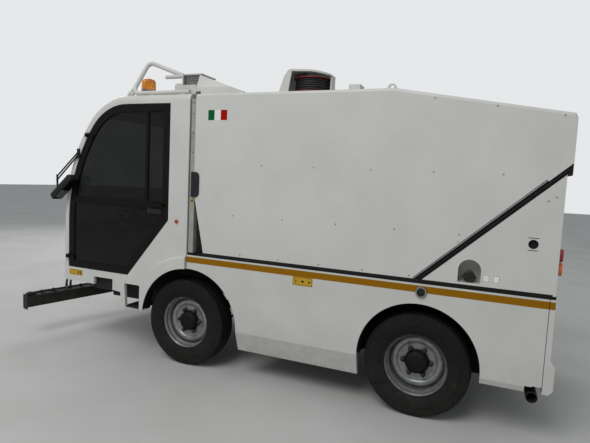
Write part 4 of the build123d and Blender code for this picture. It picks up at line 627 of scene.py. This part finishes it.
for axle, side in CORNERS:
    sign = SIDES[side]
    body = f"{axle}_{side}_wheel"
    centre = wheel_centre(axle, side)
    tyre = place(
        finish_mesh(f"tread_{axle}_{side}", lambda shape: build_tyre(shape, centre)), TYRE, body
    )
    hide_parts(f"tyre_{axle}_{side}")
    face = HUB_FACE[axle]
    valley = face - 0.018
    star = finish_mesh(
        f"hub_star_{axle}_{side}", lambda shape: hub_star(shape, centre, sign, valley - 0.001, valley + 0.010), 0.002
    )
    place(star, HUB_BLACK, body)
    cap = [
        (valley, 0.0), (valley, 0.0865), (face + 0.006, 0.0858), (face + 0.016, 0.083), (face + 0.026, 0.075),
        (face + 0.033, 0.062), (face + 0.0365, 0.0475), (face + 0.0375, 0.030), (face + 0.038, 0.0),
    ]
    turned(f"hub_cap_{axle}_{side}", cap, centre, (0, sign, 0), HUB_BLACK, body, 64)

    def build_nuts(shape):
        for k in range(NUT_COUNT):
            a = 2 * pi * k / NUT_COUNT
            spot = centre + Vector((NUT_CIRCLE * cos(a), 0, NUT_CIRCLE * sin(a)))
            wheel_nut(shape, spot, sign, valley + 0.009)

    place(finish_mesh(f"wheel_nuts_{axle}_{side}", build_nuts), NUT_STEEL, body)
    valve_root = centre + Vector((-0.148, sign * (face - 0.012), 0.06))
    valve = [valve_root + Vector((x, sign * y, z)) for x, y, z in ((0, 0, 0), (0, 0.012, 0), (-0.006, 0.03, 0.003))]
    tube(f"valve_stem_{axle}_{side}", valve, 0.0035, BARE_STEEL, body)

# ---- Panel fasteners, trim and labels on the body ----


def side_plate(name, outline, inner, outer, sign, material, bevel=0.0, body="chassis"):
    """A flat piece on a side: its outline in (x, z), from inner to outer distance off the middle."""

    def build(shape):
        loft(shape, [[(x, sign * y, z) for x, z in outline] for y in (inner, outer)])

    return place(finish_mesh(name, build, bevel, smooth=bool(bevel)), material, body)


SQUARE = ((-1, -1), (1, -1), (1, 1), (-1, 1))


def block_outline(x, z, width, height, radius=0.0):
    if radius:
        return [(x + u, z + v) for u, v in rounded(width, height, radius)]
    return [(x + u * width / 2, z + v * height / 2) for u, v in SQUARE]


# Rows of heads as (x, z)
RIVET_PITCH = 0.4375
UPPER_ROW = [(-0.205 - RIVET_PITCH * k, 1.776) for k in range(5)]
LOWER_ROW = [(0.037 - RIVET_PITCH * k, 1.362) for k in range(5)]
EDGE_ROW = [(-0.04 - 0.34 * k, 1.043) for k in range(5)] + [(-1.493, 2.272), (-1.887, 2.215), (-2.276, 2.151)]
HOUSING_SCREWS = [(-2.229, 1.620), (-2.271, 1.645), (-1.966, 1.528), (-1.708, 1.311)]
for side, sign in SIDES.items():
    rivets = on_side(UPPER_ROW + LOWER_ROW + EDGE_ROW, sign)
    fasteners(f"panel_rivets_{side}", rivets, 0.0048, 0.0022, FRAME_GREY, sign)
    screws = on_side(HOUSING_SCREWS, sign)
    fasteners(f"housing_screws_{side}", screws, 0.0042, 0.0018, BARE_STEEL, sign)

# Bolts down the front frame's channel, and its small yellow mark
FRAME_SIDE_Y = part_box("front_frame")[1].y
BOLT_X = 0.449
BOLT_HEIGHTS = (1.87, 2.03, 2.19, 2.285)
for side, sign in SIDES.items():
    bolts = [(BOLT_X, sign * FRAME_SIDE_Y, z) for z in BOLT_HEIGHTS]
    fasteners(f"frame_bolts_{side}", bolts, 0.0085, 0.004, BARE_STEEL, sign, 6)
for name, height, radius, proud, ink, slot in (
    ("yellow_mark", 0.055, 0.003, 0.0006, YELLOW, "white_paint"),
    ("yellow_mark_bar", 0.014, 0.0, 0.0009, LABEL_INK, "black_plastic"),
):
    mark = block_outline(0.444, 1.458, 0.022, height, radius)
    side_plate(name, mark, FRAME_SIDE_Y, FRAME_SIDE_Y + proud, 1, ink)

# Three-colour patch, without words
LABEL_SUNK = 0.0002
LABEL_PROUD = 0.0005
PATCH_WIDTH = 0.0595
for index, (finish, label) in enumerate(((FLAG_GREEN, "green"), (WHITE_VINYL, "white"), (FLAG_RED, "red"))):
    side_plate(
        f"patch_{label}", block_outline(0.2715 - PATCH_WIDTH * index, 2.173, PATCH_WIDTH, 0.082),
        BODY_SIDE_Y - LABEL_SUNK, BODY_SIDE_Y + LABEL_PROUD, 1, finish,
    )


def blank_label(name, x, z, width, height, ground, marks=()):
    """A label on the left side with a thin border and no words: a ground, a frame of four
    strips, and plain marks given as (along, width, height)."""
    sheet = block_outline(x, z, width, height, 0.004)
    side_plate(name, sheet, BODY_SIDE_Y - LABEL_SUNK, BODY_SIDE_Y + LABEL_PROUD, 1, ground)
    rim = 0.0028
    ink_y = BODY_SIDE_Y + (LABEL_PROUD + 0.0002)

    def build(shape):
        for dx, dz, w, h in (
            (0, height / 2 - 2 * rim, width - 3 * rim, rim), (0, 2 * rim - height / 2, width - 3 * rim, rim),
            (width / 2 - 2 * rim, 0, rim, height - 3 * rim), (2 * rim - width / 2, 0, rim, height - 3 * rim),
            *((along, 0, w, h) for along, w, h in marks),
        ):
            strip = block_outline(x + dx, z + dz, w, h)
            loft(shape, [[(u, y, v) for u, v in strip] for y in (BODY_SIDE_Y, ink_y)])

    place(finish_mesh(f"{name}_border", build, smooth=False), LABEL_INK)


SKIRT_MARKS = ((0.055, 0.009, 0.026), (0.0, 0.022, 0.016), (-0.055, 0.016, 0.016))
blank_label("skirt_label", -0.598, 0.897, 0.166, 0.068, YELLOW, SKIRT_MARKS)
CAB_MARKS = ((-0.030, 0.018, 0.024), (-0.060, 0.014, 0.030))
blank_label("cab_label", 1.745, 0.694, 0.168, 0.054, YELLOW, CAB_MARKS)
for label, x in (("front", -1.902), ("rear", -1.965)):
    blank_label(f"filler_label_{label}", x, 1.084, 0.050, 0.058, WHITE_VINYL)

# Painted shade: a black strip over the cut edge inside each wheel arch, where the arch's inside falls dark; and the
# rubber seal on the deck.
# Each arch: its middle (x, z), radius, span in x, foot height, and how far it stands proud
ARCHES = {
    "rear": ((REAR_AXLE_X - 0.005, 0.420), 0.430, (REAR_AXLE_X - 2.0, REAR_AXLE_X + 2.0), 0.410, 0.0),
    "front_body": ((FRONT_AXLE_X - 0.060, 0.400), 0.475, (-1.0, BODY_FRONT_X - 0.001), 0.410, 0.0),
    "front_cab": ((FRONT_AXLE_X - 0.060, 0.400), 0.475, (BODY_FRONT_X + 0.008, 2.0), 0.448, 0.022),
}
for side, sign in SIDES.items():
    for label, (middle, radius, span, foot, proud) in ARCHES.items():
        inner_y, outer_y = BODY_SIDE_Y - 0.030, BODY_SIDE_Y - 0.0025 + proud

        # The strip is painted shade on the arch's cut edge
        def build_edge_shade(shape):
            near, far = radius - 0.0004, radius - 0.0022
            section = [(near, inner_y), (near, outer_y), (far, outer_y), (far, inner_y)]
            rings = []
            for k in range(121):
                a = radians(-8 + 196 * k / 120)
                x, z = middle[0] + radius * cos(a), middle[1] + radius * sin(a)
                if span[0] < x < span[1] and z > foot:
                    rings.append([(middle[0] + r * cos(a), sign * y, middle[1] + r * sin(a)) for r, y in section])
            loft(shape, rings)

        place(finish_mesh(f"arch_edge_shade_{label}_{side}", build_edge_shade), MUDGUARD_AND_SHADE_BLACK)
    seal = [(-2.300, 0.9965), (0.418, 0.9965), (0.418, 1.0000), (0.310, 1.0265), (-2.300, 1.0265)]
    seal_low, seal_high = BODY_SIDE_Y - 0.012, BODY_SIDE_Y + 0.0008
    side_plate(f"deck_seal_{side}", seal, seal_low, seal_high, sign, RUBBER, 0.0008)

# Mudguard feet ahead of and behind the rear wheels, and black sheets on the chassis rails that are painted shade,
# darkening the view under the body past the wheels
LINER_DEPTH = 0.255
LINER_FOOT = 0.600
MUDGUARD_FOOT = 0.400
MUDGUARD_EDGE = 0.028
GUARD_SHEET = 0.003
SHADE_SHEET_INNER_Y = 0.3305
SHADE_SHEET_OUTER_Y = 0.3345
for side, sign in SIDES.items():
    (arch_x, arch_z), arch_radius = ARCHES["rear"][0], ARCHES["rear"][1] - 0.0030
    for label, end in (("ahead", 1), ("behind", -1)):

        def build_foot(shape):
            rings = []
            for k in range(13):
                z = MUDGUARD_FOOT + (LINER_FOOT - MUDGUARD_FOOT) * k / 12
                x = arch_x + end * (arch_radius**2 - (z - arch_z) ** 2) ** 0.5
                rings.append([
                    Vector((x - end * step, sign * y, z))
                    for step, y in (
                        (0.0, BODY_SIDE_Y - MUDGUARD_EDGE), (0.0, BODY_SIDE_Y - LINER_DEPTH),
                        (GUARD_SHEET, BODY_SIDE_Y - LINER_DEPTH), (GUARD_SHEET, BODY_SIDE_Y - MUDGUARD_EDGE),
                    )
                ])
            loft(shape, rings)

        place(finish_mesh(f"mudguard_foot_{label}_{side}", build_foot), MUDGUARD_AND_SHADE_BLACK)
    # Painted shade: black sheets where the underside falls dark beside the wheels
    for label, low, high in (
        ("front", (0.800, 0.430), (1.300, 0.740)), ("ahead", (-1.280, 0.270), (-0.900, 0.640)),
        ("behind", (-2.060, 0.240), (-1.640, 0.640)),
    ):
        sheet = [low, (high[0], low[1]), high, (low[0], high[1])]
        side_plate(
            f"shade_sheet_{label}_{side}", sheet, SHADE_SHEET_INNER_Y, SHADE_SHEET_OUTER_Y, sign, MUDGUARD_AND_SHADE_BLACK,
            0.0005,
        )

# Seam trim: a dark strip on the tank's slanted edge with a mill finish lip, a rubber bead below it
SEAM_FOOT = Vector((-1.430, 0, 1.017))
SEAM_HEAD = Vector((-2.348, 0, 1.861))
SEAM_RUN = SEAM_HEAD - SEAM_FOOT
SEAM_UP = Vector((-SEAM_RUN.z, 0, SEAM_RUN.x)).normalized() * -1.0
for side, sign in SIDES.items():
    a = SEAM_FOOT + SEAM_RUN * 0.004
    b = SEAM_FOOT + SEAM_RUN * 0.86
    for label, near, far, proud, finish, slot in (
        ("edge", 0.0, 0.0150, 0.0012, RUBBER, "black_rubber"),
        ("lip", 0.0050, 0.0105, 0.0026, ALUMINIUM, "bright_steel"),
    ):
        strip = [a + SEAM_UP * near, b + SEAM_UP * near, b + SEAM_UP * far, a + SEAM_UP * far]
        side_plate(
            f"seam_{label}_{side}", [(p.x, p.z) for p in strip], BODY_SIDE_Y - 0.0004, BODY_SIDE_Y + proud, sign,
            finish, 0.0004,
        )
    shift = SEAM_UP * -0.017
    ends = (SEAM_FOOT + SEAM_RUN * 0.03 + shift, SEAM_HEAD - SEAM_RUN * 0.03 + shift)
    bead = [Vector((p.x, sign * (BODY_SIDE_Y - 0.009), p.z)) for p in ends]
    tube(f"seam_bead_{side}", bead, 0.0085, RUBBER, poly=True)

# Round port: a hole in the pump housing whose black lining is painted shade, with a thin black mark above and below it
PORT_X, PORT_Z = -2.165, 1.338
turned(
    "port_painted_shade",
    [(-0.02, 0.0), (-0.02, 0.0262), (0.0008, 0.0262), (0.0012, 0.0285), (0.0, 0.0300), (-0.0004, 0.0300)],
    (PORT_X, BODY_SIDE_Y, PORT_Z), LEFTWARD, PORT_SHADE_AND_CAP_BLACK,
)
for label, dz in (("low", -0.040), ("high", 0.040)):
    mark = block_outline(PORT_X, PORT_Z + dz, 0.062, 0.0045)
    side_plate(f"port_mark_{label}", mark, BODY_SIDE_Y, BODY_SIDE_Y + 0.0005, 1, LABEL_INK)

# Fuel cap: a turned steel ring round a dark centre
FUEL = Vector((REAR_AXLE_X - 0.013, BODY_SIDE_Y, 0.937))
turned(
    "fuel_cap_ring",
    [
        (0.0, 0.041), (0.008, 0.041), (0.012, 0.0395), (0.0165, 0.0365), (0.0172, 0.033), (0.0168, 0.030),
        (0.012, 0.0286), (0.0, 0.0286),
    ],
    FUEL, LEFTWARD, BARE_STEEL, closed=True,
)
turned(
    "fuel_cap_centre",
    [(0.0, 0.0285), (0.0150, 0.0285), (0.0160, 0.026), (0.0155, 0.010), (0.0165, 0.006), (0.0168, 0.0)],
    FUEL, LEFTWARD, PORT_SHADE_AND_CAP_BLACK,
)

# Filler niche: black coupling cap with two ears
NICHE_X = REAR_AXLE_X - 0.318
COUPLING_Z = 1.076
COUPLING = Vector((NICHE_X, BODY_SIDE_Y - 0.052, COUPLING_Z))
turned(
    "filler_coupling",
    [
        (-0.020, 0.0), (-0.020, 0.0352), (0.004, 0.0352), (0.006, 0.0385), (0.016, 0.0385), (0.018, 0.0352),
        (0.030, 0.0350), (0.0335, 0.031), (0.0335, 0.013), (0.028, 0.011), (0.028, 0.0),
    ],
    COUPLING, LEFTWARD, NUT_STEEL,
)
side_plate(
    "filler_coupling_ears", block_outline(NICHE_X, COUPLING_Z, 0.094, 0.018, 0.006),
    COUPLING.y + 0.008, COUPLING.y + 0.026, 1, NUT_STEEL, 0.0015,
)

# ---- Roof pieces ----

BELLOWS_LOW, BELLOWS_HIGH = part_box("air_bellows")
BELLOWS_FOLDS = 5


def bellows_ring(z, inset, corner):
    """The bellows' rounded oblong at a height, drawn in by inset."""
    middle = (BELLOWS_LOW + BELLOWS_HIGH) / 2
    width = BELLOWS_HIGH.x - BELLOWS_LOW.x - 2 * inset
    depth = BELLOWS_HIGH.y - BELLOWS_LOW.y - 2 * inset
    return [(middle.x + x, middle.y + y, z) for x, y in rounded(width, depth, corner)]


def build_bellows(shape):
    """Folds one above the other, each a rounded crest and root."""
    rings = []
    for k in range(BELLOWS_FOLDS * 8 + 1):
        z = BELLOWS_LOW.z + (BELLOWS_HIGH.z - BELLOWS_LOW.z) * k / (BELLOWS_FOLDS * 8)
        rings.append(bellows_ring(z, 0.0105 * (0.5 + 0.5 * cos(2 * pi * k / 8)) ** 0.7, 0.016))
    loft(shape, rings)


bellows = place(finish_mesh("ribbed_bellows", build_bellows), BELLOWS)
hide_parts("air_bellows")
for label, z in (("low", BELLOWS_LOW.z + 0.004), ("high", BELLOWS_HIGH.z - 0.004)):
    tube(
        f"bellows_clamp_{label}", bellows_ring(z, 0.001, 0.018), 0.003, ALUMINIUM, sides=4,
        closed=True, poly=True,
    )

# Beacon: grey moulded base and a fluted amber lens
BEACON_LOW, BEACON_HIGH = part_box("beacon")
BEACON = Vector(((BEACON_LOW.x + BEACON_HIGH.x) / 2, (BEACON_LOW.y + BEACON_HIGH.y) / 2, BEACON_LOW.z))
LENS_RADIUS = (BEACON_HIGH.x - BEACON_LOW.x) / 2
# The lens's (height, share of LENS_RADIUS)
LENS_PROFILE = (
    (0.0845, 0.82), (0.090, 0.845), (0.120, 0.84), (0.155, 0.825), (0.170, 0.78), (0.180, 0.69), (0.186, 0.55),
    (0.1895, 0.32),
)
FLUTES = 36
beacon_base = turned(
    "beacon_base",
    [
        (0.0, 0.0), (0.0, 0.070), (0.006, 0.070), (0.009, 0.064), (0.030, 0.060), (0.062, 0.058), (0.072, 0.062),
        (0.077, 0.066), (0.084, 0.066), (0.084, 0.0),
    ],
    BEACON, UP, GREY_PLASTIC, steps=64,
)


def build_lens(shape):
    rings = []
    for z, share in LENS_PROFILE:
        ring = []
        for k in range(144):
            a = 2 * pi * k / 144
            flute = 0.0012 * (1 - cos(FLUTES * a)) if 0.088 < z < 0.172 else 0.0
            r = LENS_RADIUS * share - flute
            ring.append((BEACON.x + r * cos(a), BEACON.y + r * sin(a), BEACON.z + z))
        rings.append(ring)
    loft(shape, rings)


lens = place(finish_mesh("beacon_lens", build_lens), AMBER)
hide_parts("beacon")
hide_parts("beacon")

# Hose on the reel: its wound turns stand between the red flanges, whose rims are rolled over
REEL_LOW, REEL_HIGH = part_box("hose_reel")
REEL = Vector(((REEL_LOW.x + REEL_HIGH.x) / 2, (REEL_LOW.y + REEL_HIGH.y) / 2, REEL_LOW.z))
REEL_RADIUS = (REEL_HIGH.x - REEL_LOW.x) / 2
FLANGE = 0.010
RIM_RADIUS = 0.0055
TURNS = 5
INNER_GAP = REEL_HIGH.z - REEL_LOW.z - 2 * FLANGE
wound = [(FLANGE + 0.002, REEL_RADIUS - 0.045)]
for k in range(TURNS * 8 + 1):
    bulge = 0.0115 * abs(sin(pi * k / 8)) ** 0.6
    wound.append((FLANGE + 0.003 + (INNER_GAP - 0.006) * k / (TURNS * 8), REEL_RADIUS - 0.026 + bulge))
wound.append((FLANGE + INNER_GAP - 0.002, REEL_RADIUS - 0.045))
turned("wound_hose", wound, REEL, UP, HOSE, "hose_reel", 96, closed=True)
for label, z in (("low", FLANGE / 2), ("high", REEL_HIGH.z - REEL_LOW.z - FLANGE / 2)):
    turns = [2 * pi * k / 12 for k in range(12)]
    rim = [(z + RIM_RADIUS * sin(a), REEL_RADIUS - 0.006 + RIM_RADIUS * cos(a)) for a in turns]
    turned(f"reel_rim_{label}", rim, REEL, UP, REEL_RED, "hose_reel", 96, closed=True)

# Knob on the cab roof
turned(
    "roof_knob",
    [(0.0, 0.0), (0.0, 0.014), (0.020, 0.011), (0.024, 0.017), (0.048, 0.019), (0.057, 0.014), (0.060, 0.0)],
    (1.161, 0.770, 2.345), UP, ROOF_WHITE,
)

# ---- Mirrors, windscreen gasket and wiper blade ----

MIRROR_THICKNESS = 0.0016
# The mirror shell's sections: (how far forward of the head, how far drawn in)
SHELL_RINGS = ((-0.010, 0.002), (0.024, 0.0016), (0.034, 0.006), (0.042, 0.015), (0.047, 0.028), (0.049, 0.042))

for side, sign in SIDES.items():
    head = Vector((FRONT_AXLE_X + 1.306, sign * (BODY_SIDE_Y + 0.068), 1.505))
    along = Vector((-0.755, 0, 0.656)).normalized()
    across = Vector((0, 1, 0))
    back = Vector((-0.656, 0, -0.755)).normalized()

    def mirror_ring(spot, width, height, corner, steps):
        return [spot + across * u + along * v for u, v in rounded(width, height, corner, steps)]

    def build_glass(shape):
        points = mirror_ring(head + back * 0.0262, 0.092, 0.286, 0.022, 5)
        normal = (points[1] - points[0]).cross(points[2] - points[1]).normalized()
        half = normal * MIRROR_THICKNESS / 2
        loft(shape, [[p - half for p in points], [p + half for p in points]])

    def build_shell(shape):
        loft(shape, [
            mirror_ring(head - back * out, 0.110 - 2 * shrink, 0.312 - 2 * shrink, 0.012, 6)
            for out, shrink in SHELL_RINGS
        ])

    glass = finish_mesh(f"mirror_glass_{side}", build_glass, 0.0004, smooth=False)
    place(glass, MIRROR_GLASS)
    place(finish_mesh(f"mirror_shell_{side}", build_shell), PLASTIC)

GLASS_LOW, GLASS_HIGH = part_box("windscreen")
SCREEN_RADIUS = 1.600
SCREEN_FOOT = 1.187


def screen_x(z):
    """The windscreen's outer face: an arc that leans back above its foot."""
    reach = (SCREEN_RADIUS**2 - max(0.0, z - SCREEN_FOOT) ** 2) ** 0.5
    return GLASS_HIGH.x - SCREEN_RADIUS + reach


GASKET_Y = GLASS_HIGH.y - 0.004
heights = [GLASS_LOW.z + (GLASS_HIGH.z - GLASS_LOW.z) * k / 10 for k in range(11)]
gasket = [(screen_x(z), GASKET_Y, z) for z in heights] + [(screen_x(z), -GASKET_Y, z) for z in reversed(heights)]
tube("windscreen_gasket", gasket, 0.0085, RUBBER, sides=4, closed=True, poly=True)

WIPER_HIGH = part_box("wiper")[1]


def build_blade(shape):
    """A rubber strip from foot to tip, and the thinner lip above it."""
    ends = [Vector((WIPER_HIGH.x - 0.010, y, WIPER_HIGH.z - 0.004)) for y in (0.110, -0.535)]
    for low, high, thick in ((0.0, 0.012, 0.007), (0.012, 0.020, 0.002)):
        section = ((-thick / 2, low), (thick / 2, low), (thick / 2, high), (-thick / 2, high))
        loft(shape, [[end + Vector((u, 0, w)) for u, w in section] for end in ends])


place(finish_mesh("wiper_blade", build_blade, smooth=False), RUBBER)

# ---- Wash bar: feed rails on its top, clamps, end plates, lances, hoses and collars ----

BAR_PIVOT = Vector((FRONT_AXLE_X + 1.554, 0, 0))
BAR_TURN = radians(12.4)
BAR_FORE = Vector((cos(BAR_TURN), -sin(BAR_TURN), 0))
BAR_SPAN = Vector((sin(BAR_TURN), cos(BAR_TURN), 0))
BAR_TOP = 0.410
BAR_FOOT = 0.300
BAR_HALF = 0.998
BAR_DEPTH = 0.084


def on_bar(fore, along, height):
    return BAR_PIVOT + BAR_FORE * fore + BAR_SPAN * along + Vector((0, 0, height))


def bar_block(shape, fore, along, height, size):
    """A block on the bar: its middle, and its size fore and aft, along the bar and up."""
    rings = []
    for end in (-0.5, 0.5):
        spot = on_bar(fore, along + end * size[1], height)
        rings.append([spot + BAR_FORE * (size[0] * u / 2) + Vector((0, 0, size[2] * v / 2)) for u, v in SQUARE])
    loft(shape, rings)


RAIL_RADIUS = 0.011
RAIL_FORE = 0.022
CLAMPS_ALONG = (0.270, 0.400, 0.700, 0.820, 0.940)
# The spray lance's (fore, along, height)
LANCE = (
    (0.048, 0.930, 0.325), (0.049, 0.920, 0.360), (0.050, 0.895, 0.405), (0.040, 0.860, 0.432),
    (0.024, 0.790, 0.436), (0.022, 0.720, 0.434),
)
for side, sign in SIDES.items():
    rail = [on_bar(RAIL_FORE, sign * v, BAR_TOP + 0.016) for v in (0.250, 0.450, 0.700, BAR_HALF - 0.020)]
    rail = [on_bar(RAIL_FORE, sign * 0.235, BAR_TOP + 0.001)] + rail
    tube(f"feed_rail_{side}", rail, RAIL_RADIUS, HOSE, "wash_bar", 5)

    def build_clamps(shape):
        for along in CLAMPS_ALONG:
            bar_block(shape, RAIL_FORE, sign * along, BAR_TOP + 0.015, (0.034, 0.020, 0.030))
            bar_block(shape, -0.012, sign * along, BAR_TOP + 0.004, (0.030, 0.030, 0.008))
        bar_block(shape, 0.0, sign * (BAR_HALF - 0.003), BAR_FOOT + 0.052, (BAR_DEPTH - 0.001, 0.005, 0.150))
        bar_block(shape, -0.020, sign * (BAR_HALF - 0.050), BAR_TOP + 0.012, (0.008, 0.090, 0.024))

    place(finish_mesh(f"rail_clamps_{side}", build_clamps, 0.002), CHASSIS, "wash_bar")
    lance = [on_bar(u, sign * v, z) for u, v, z in LANCE]
    tube(f"spray_lance_{side}", lance, 0.006, BARE_STEEL, "wash_bar", 4)

# Two rubber feed hoses hang from the cab's front corner down to the bar
CAB_FRONT_X = FRONT_AXLE_X + 1.410
HOSE_DIAMETER = 0.022
HOSE_LENGTHS = (0.650, 0.640)
# Their routes as in the part: (ahead of the cab's front, y, z)
HOSE_ROUTES = [[(CAB_FRONT_X + ahead, y, z) for ahead, y, z in points] for points in (
    (
        (0.0, 0.735, 0.905), (0.050, 0.735, 0.905), (0.092, 0.722, 0.840), (0.120, 0.690, 0.690),
        (0.200, 0.610, 0.545), (0.288, 0.546, 0.480), (0.290, 0.544, 0.411),
    ),
    (
        (0.0, 0.700, 0.870), (0.045, 0.700, 0.870), (0.084, 0.690, 0.812), (0.108, 0.655, 0.670),
        (0.190, 0.570, 0.530), (0.304, 0.480, 0.472), (0.306, 0.478, 0.411),
    ),
)]
for index, (hose_length, route) in enumerate(zip(HOSE_LENGTHS, HOSE_ROUTES)):
    hose = tube(f"feed_hose_{index + 1}", route, HOSE_DIAMETER / 2, HOSE, sides=5)
    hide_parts("bar_hoses")
    hose_line(route)

# A steel collar where each hose meets the bar
COLLAR = (
    (0.0, 0.0), (0.0, 0.019), (0.010, 0.019), (0.012, 0.0155), (0.030, 0.0155), (0.034, 0.0135), (0.052, 0.0128),
    (0.052, 0.0),
)
for index, route in enumerate(HOSE_ROUTES):
    foot = (*route[-1][:2], BAR_TOP)
    turned(f"hose_collar_{index + 1}", COLLAR, foot, UP, BARE_STEEL, "wash_bar", 24)

# ---- Door handles: the lining of each recess ----

for side, sign in SIDES.items():
    side_plate(
        f"handle_pocket_{side}", block_outline(0.832, 1.345, 0.150, 0.046, 0.012),
        BODY_SIDE_Y - 0.0004, BODY_SIDE_Y + 0.0012, sign, PLASTIC, 0.0006, f"{side}_door",
    )

# ---- Seats ----


def cushion_mesh(name, corners, middle_y, half_width):
    """A block between four (x, z) corners, gridded so that it can swell as filled cloth."""
    a, b, c, d = [Vector((x, 0, z)) for x, z in corners]
    nu, nv, nw = 12, 5, 14

    def at(u, v, w):
        low = a.lerp(b, u)
        high = d.lerp(c, u)
        pull = 1.0 - 0.05 * (2 * u - 1) ** 4
        return low.lerp(high, v) + Vector((0, middle_y + half_width * (2 * w - 1) * pull, 0))

    def build(shape):
        grid = {}
        for i in range(nu + 1):
            for j in range(nv + 1):
                for k in range(nw + 1):
                    if i in (0, nu) or j in (0, nv) or k in (0, nw):
                        grid[i, j, k] = shape.verts.new(at(i / nu, j / nv, k / nw))
        spans = (
            (nu, nv, nw, lambda p, q, r: (p, q, r)), (nv, nw, nu, lambda p, q, r: (r, p, q)),
            (nw, nu, nv, lambda p, q, r: (q, r, p)),
        )
        for first, second, depth, key in spans:
            for level in (0, depth):
                for p in range(first):
                    for q in range(second):
                        corners_of_face = ((p, q), (p + 1, q), (p + 1, q + 1), (p, q + 1))
                        shape.faces.new([grid[key(i, j, level)] for i, j in corners_of_face])

    return finish_mesh(name, build)


def swollen(data, cap):
    """The mesh blown up as cloth by pressure, each point kept within cap of where it began."""
    piece = in_scene(data.name, data)
    remesh = piece.modifiers.new("even", "REMESH")
    remesh.mode = "VOXEL"
    remesh.voxel_size = 0.012
    data = plain_mesh(piece)
    start = [v.co.copy() for v in data.vertices]
    piece = in_scene(data.name, data)
    cloth = piece.modifiers.new("cloth", "CLOTH")
    cloth.settings.use_pressure = True
    cloth.settings.uniform_pressure_force = 4.0
    cloth.settings.effector_weights.gravity = 0.0
    for frame_number in range(1, 21):
        bpy.context.scene.frame_set(frame_number)
    data = plain_mesh(piece)
    bpy.context.scene.frame_set(1)
    for vertex, home in zip(data.vertices, start):
        move = vertex.co - home
        if move.length > cap:
            vertex.co = home + move.normalized() * cap
    data.shade_smooth()
    return data


# The seats' sections as (ahead of the front axle, above SEAT_Z)
SEAT_Z = 0.885
SEAT_Y = 0.400
CUSHIONS = {
    "squab": ((0.265, 0.085), (0.630, 0.085), (0.628, 0.176), (0.270, 0.153)),
    "backrest": ((0.138, 0.115), (0.250, 0.150), (0.172, 0.700), (0.074, 0.690)),
}
PEDESTAL = ((0.135, 0.0), (0.470, 0.0), (0.478, 0.058), (0.610, 0.068), (0.612, 0.082), (0.135, 0.082))


def seat_section(points):
    return [(FRONT_AXLE_X + x, SEAT_Z + z) for x, z in points]


for label, corners in CUSHIONS.items():
    grown = cushion_mesh(f"seat_{label}_left", seat_section(corners), SEAT_Y, 0.222)
    grown = swollen(grown, 0.011)
    for side, sign in SIDES.items():
        data = grown if sign > 0 else grown.copy()
        if sign < 0:
            for vertex in data.vertices:
                vertex.co.y = -vertex.co.y
            data.flip_normals()
        data.name = f"seat_{label}_{side}"
        pad = place(data, SEAT_CLOTH)
        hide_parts("seats")
for side, sign in SIDES.items():
    pedestal = side_plate(
        f"seat_pedestal_{side}", seat_section(PEDESTAL), SEAT_Y - 0.205, SEAT_Y + 0.205, sign, PLASTIC,
        0.004,
    )
    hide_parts("seats")
